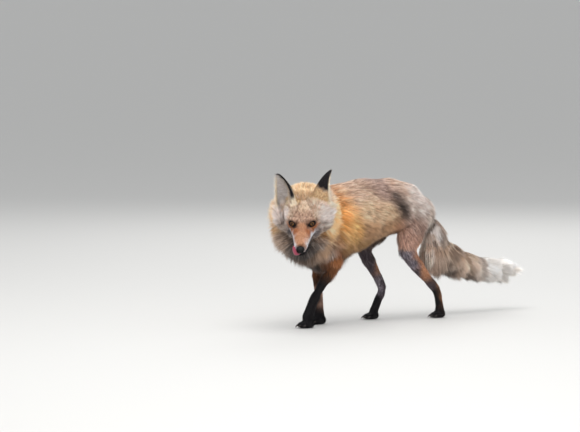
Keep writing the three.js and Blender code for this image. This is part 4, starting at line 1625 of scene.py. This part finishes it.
@dataclass
class Lips:
    """The black edge of the mouth, thickest in front, below the nose."""

    path: tuple[Point, ...] = (
        (21, -14, -37),
        (18.5, -32, -36),
        (14.5, -50, -34.5),
        (10, -64, -32.5),
        (5, -71.5, -31.5),
    )
    thick: tuple[float, ...] = (1.0, 1.5, 2.0, 3.2, 4.2)

    def build(self) -> bpy.types.Object:
        """Makes one rounded band from corner to corner."""
        rows, columns = 61, 16
        side = np.array(self.path, float)
        knots = np.concatenate([side, side[::-1] * (-1, 1, 1)])
        raw = eased(knots, rows, 6)
        width = resampled(self.thick + self.thick[::-1], rows)
        width[[0, -1]] *= 0.15
        way = unit(np.gradient(raw, axis=0))
        high = unit(np.cross(way, np.cross(UP, way)))
        out = np.cross(high, way)
        phi = circle(columns)
        ring = np.cos(phi)[None, :, None] * out[:, None] * 0.8 + np.sin(phi)[None, :, None] * high[:, None]
        body = raw[:, None] + ring * width[:, None, None]
        piece = make_object("lips", FOX.out(Home.HEAD, body.reshape(-1, 3)), ring_faces(rows, columns))
        paint(piece, srgb((16, 12, 13)), LID.material())
        return piece


@dataclass
class Tongue:
    """The tongue, curled up beside the nose."""

    path: tuple[Point, ...] = ((0, -62, -28), (-5, -77, -29), (-11, -84, -25), (-14.5, -82, -14), (-15.5, -77, -5))
    wide: tuple[float, ...] = (7.0, 6.4, 5.4, 4.6, 2.4)

    def build(self) -> bpy.types.Object:
        """Makes a thin strip along the path, with a groove down its middle."""
        rows, columns = 40, 24
        raw = eased(self.path, rows, 12)
        width = resampled(self.wide, rows)
        width[-5:] *= np.sqrt(np.linspace(1, 0.05, 5))
        way = unit(np.gradient(raw, axis=0))
        side = unit(np.cross(way, unit(np.array([0, -0.7, -0.7]))))
        out = np.cross(side, way)
        c, s = np.cos(circle(columns)), np.sin(circle(columns))
        thick = 1.7 * np.ones(rows)
        thick[-4:] *= np.linspace(1, 0.3, 4)
        cup = 1.8 * (c**2)[None, :, None] * out[:, None]
        body = (
            raw[:, None]
            + side[:, None] * (c[None, :, None] * width[:, None, None])
            + out[:, None] * (s[None, :, None] * thick[:, None, None])
            - cup
        )
        points = FOX.out(Home.HEAD, body.reshape(-1, 3))
        piece = make_object("tongue_tip", points, ring_faces(rows, columns))
        edge = np.tile(np.abs(c), rows)[:, None] ** 3
        paint(piece, srgb((156, 60, 82)) * (1 - 0.25 * edge), TONGUE_FLESH.material())
        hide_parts("tongue")
        return piece


@dataclass
class Whiskers:
    """The long bristles of the muzzle."""

    seed: int = 11

    def build(self) -> bpy.types.Object:
        """Makes thin tapered bristles in rows on each side of the muzzle."""
        rng = np.random.default_rng(self.seed)
        bristles = []
        for side in (1, -1):
            for row in range(4):
                for place in range(4):
                    start = np.array([side * (13.5 + 1.5 * place), -62 + 8.0 * place, -14 - 4.2 * row])
                    way = np.array([side * 0.85, 0.45 + 0.1 * place, 0.12 - 0.24 * row]) + rng.normal(0, 0.08, 3)
                    length = rng.uniform(26, 40) + 9 * place
                    bristle = self._bristle(start, unit(way), length)
                    bristles.append((bristle, ring_faces(len(bristle) // 3, 3)))
        points, faces = joined(bristles)
        piece = make_object("whiskers", FOX.out(Home.HEAD, points), faces)
        paint(piece, srgb((34, 28, 28)), BRISTLE.material())
        return piece

    @staticmethod
    def _bristle(start: Array, way: Array, length: float) -> Array:
        """Rings of three points along one drooping bristle."""
        t = np.linspace(0, 1, 9)[:, None]
        line = start + way * length * t + np.array([0, 0.25, -0.3]) * length * t**2
        side = unit(np.cross(way, UP))
        high = np.cross(side, way)
        phi = np.array([0, 2.1, 4.2])
        ring = np.cos(phi)[:, None] * side + np.sin(phi)[:, None] * high
        return (line[:, None] + ring[None] * (0.24 * (1 - t) + 0.03)[..., None]).reshape(-1, 3)


@dataclass
class Claws:
    """The blunt dark claws, four on each paw."""

    paws: tuple[tuple[Point, float, float], ...] = (
        ((26, -219, 0), 4, 1.0),
        ((-26, -140, 0), -4, 1.0),
        ((40, 186, 0), 0, 0.92),
        ((-38, 40, 0), 0, 0.92),
    )

    def build(self) -> bpy.types.Object:
        """Makes a curved, tapering claw at the end of each toe."""
        claws = []
        rows, columns = 10, 12
        for centre, spin, size in self.paws:
            for k in (-1.5, -0.5, 0.5, 1.5):
                reach = -9 if abs(k) > 1 else -17
                base = np.array([k * 8.6 * size, (reach - 10) * size, 7.4 * size])
                claw = (self._claw(rows, columns) + base) @ turn("z", spin).T + np.array(centre)
                claws.append((claw, ring_faces(rows, columns)))
        points, faces = joined(claws)
        piece = make_object("claws", FOX.out(Home.BODY, points), faces)
        paint(piece, srgb((46, 38, 34)), HORN.material())
        return piece

    @staticmethod
    def _claw(rows: int, columns: int) -> Array:
        """Rings along one claw, which curves down as it goes forward."""
        t = np.linspace(0, 1, rows)
        line = np.stack([0 * t, -8.5 * t, -0.5 * t - 4.4 * t**2], 1)
        radius = 2.0 * (1 - t) ** 0.7 + 0.12
        phi = circle(columns)
        ring = np.stack([np.cos(phi) * 0.75, 0 * phi, np.sin(phi)], 1)
        return (line[:, None] + ring[None] * radius[:, None, None]).reshape(-1, 3)


# ---- Studio --------------------------------------------------------------------------------------


@dataclass
class Studio:
    """A pale floor, soft light and the camera."""

    azimuth: float = 50.0
    elevation: float = 4.0
    distance: float = 9.0
    aim: Point = (-145.1, -128.8, 250.7)
    span: float = 1.392
    floor_half: float = 300.0
    sensor: float = 36.0

    def build(self) -> None:
        """Makes the floor, the lights and the camera."""
        self._floor()
        self._lights()
        self._camera()
        bpy.context.scene.view_settings.view_transform = "Standard"

    def _floor(self) -> None:
        """Lays the floor."""
        far = self.floor_half
        mesh = bpy.data.meshes.new("floor")
        mesh.from_pydata([(-far, -far, 0), (far, -far, 0), (far, far, 0), (-far, far, 0)], [], [(0, 1, 2, 3)])
        floor = bpy.data.objects.new("floor", mesh)
        bpy.context.scene.collection.objects.link(floor)
        sheet = Sheet("floor_paint")
        sheet.set(Base_Color=(0.62, 0.61, 0.59, 1.0), Roughness=0.8)
        mesh.materials.append(sheet.material)

    def _lights(self) -> None:
        """Hangs a wide soft light overhead and weaker ones around."""
        world = bpy.data.worlds.new("soft_room")
        world.use_nodes = True
        background = world.node_tree.nodes["Background"]
        background.inputs["Color"].default_value = (0.86, 0.88, 0.9, 1.0)
        background.inputs["Strength"].default_value = 0.75
        bpy.context.scene.world = world
        for name, at, size, power in (
            ("overhead", (0.6, -0.8, 3.0), 3.0, 80.0),
            ("front", (2.6, -2.2, 1.6), 2.0, 34.0),
            ("behind", (-2.0, 2.2, 2.2), 2.0, 30.0),
        ):
            lamp = bpy.data.lights.new(name, "AREA")
            lamp.size, lamp.energy = size, power
            holder = bpy.data.objects.new(name, lamp)
            holder.location = at
            holder.rotation_euler = (Vector((0, 0, 0.2)) - Vector(at)).to_track_quat("-Z", "Y").to_euler()
            bpy.context.scene.collection.objects.link(holder)

    def _camera(self) -> None:
        """Sets the camera at the fox's front left, low over the floor."""
        a, e = math.radians(self.azimuth), math.radians(self.elevation)
        back = np.array([math.sin(a) * math.cos(e), -math.cos(a) * math.cos(e), math.sin(e)])
        aim = FOX.out(Home.BODY, np.array(self.aim)) * MM
        lens = bpy.data.cameras.new("camera")
        lens.sensor_width = self.sensor
        lens.lens = self.sensor * self.distance / self.span
        lens.clip_end = 1000.0
        camera = bpy.data.objects.new("camera", lens)
        camera.location = Vector(aim + back * self.distance)
        camera.rotation_euler = Vector(back).to_track_quat("Z", "Y").to_euler()
        bpy.context.scene.collection.objects.link(camera)
        bpy.context.scene.camera = camera


def main() -> None:
    """Builds the fox, piece by piece, and its studio."""
    logging.basicConfig(level=logging.INFO, format="%(name)s: %(message)s")
    Studio().build()
    coat = Coat()
    skin = Skin(coat)
    hide = skin.build()
    skin.dress(hide)
    log.info("skin: %d points", len(skin.points))
    for eye in EYES:
        log.info("eye: %s, %s", eye.build_ball().name, eye.build_rim().name)
    for kind in (Nose, Lips, Tongue, Whiskers, Claws):
        log.info("made %s", kind().build().name)
    for piece in Fur(skin, coat).build():
        log.info("coat: %s, %d faces", piece.name, len(piece.data.polygons))


if __name__ == "__main__":
    main()
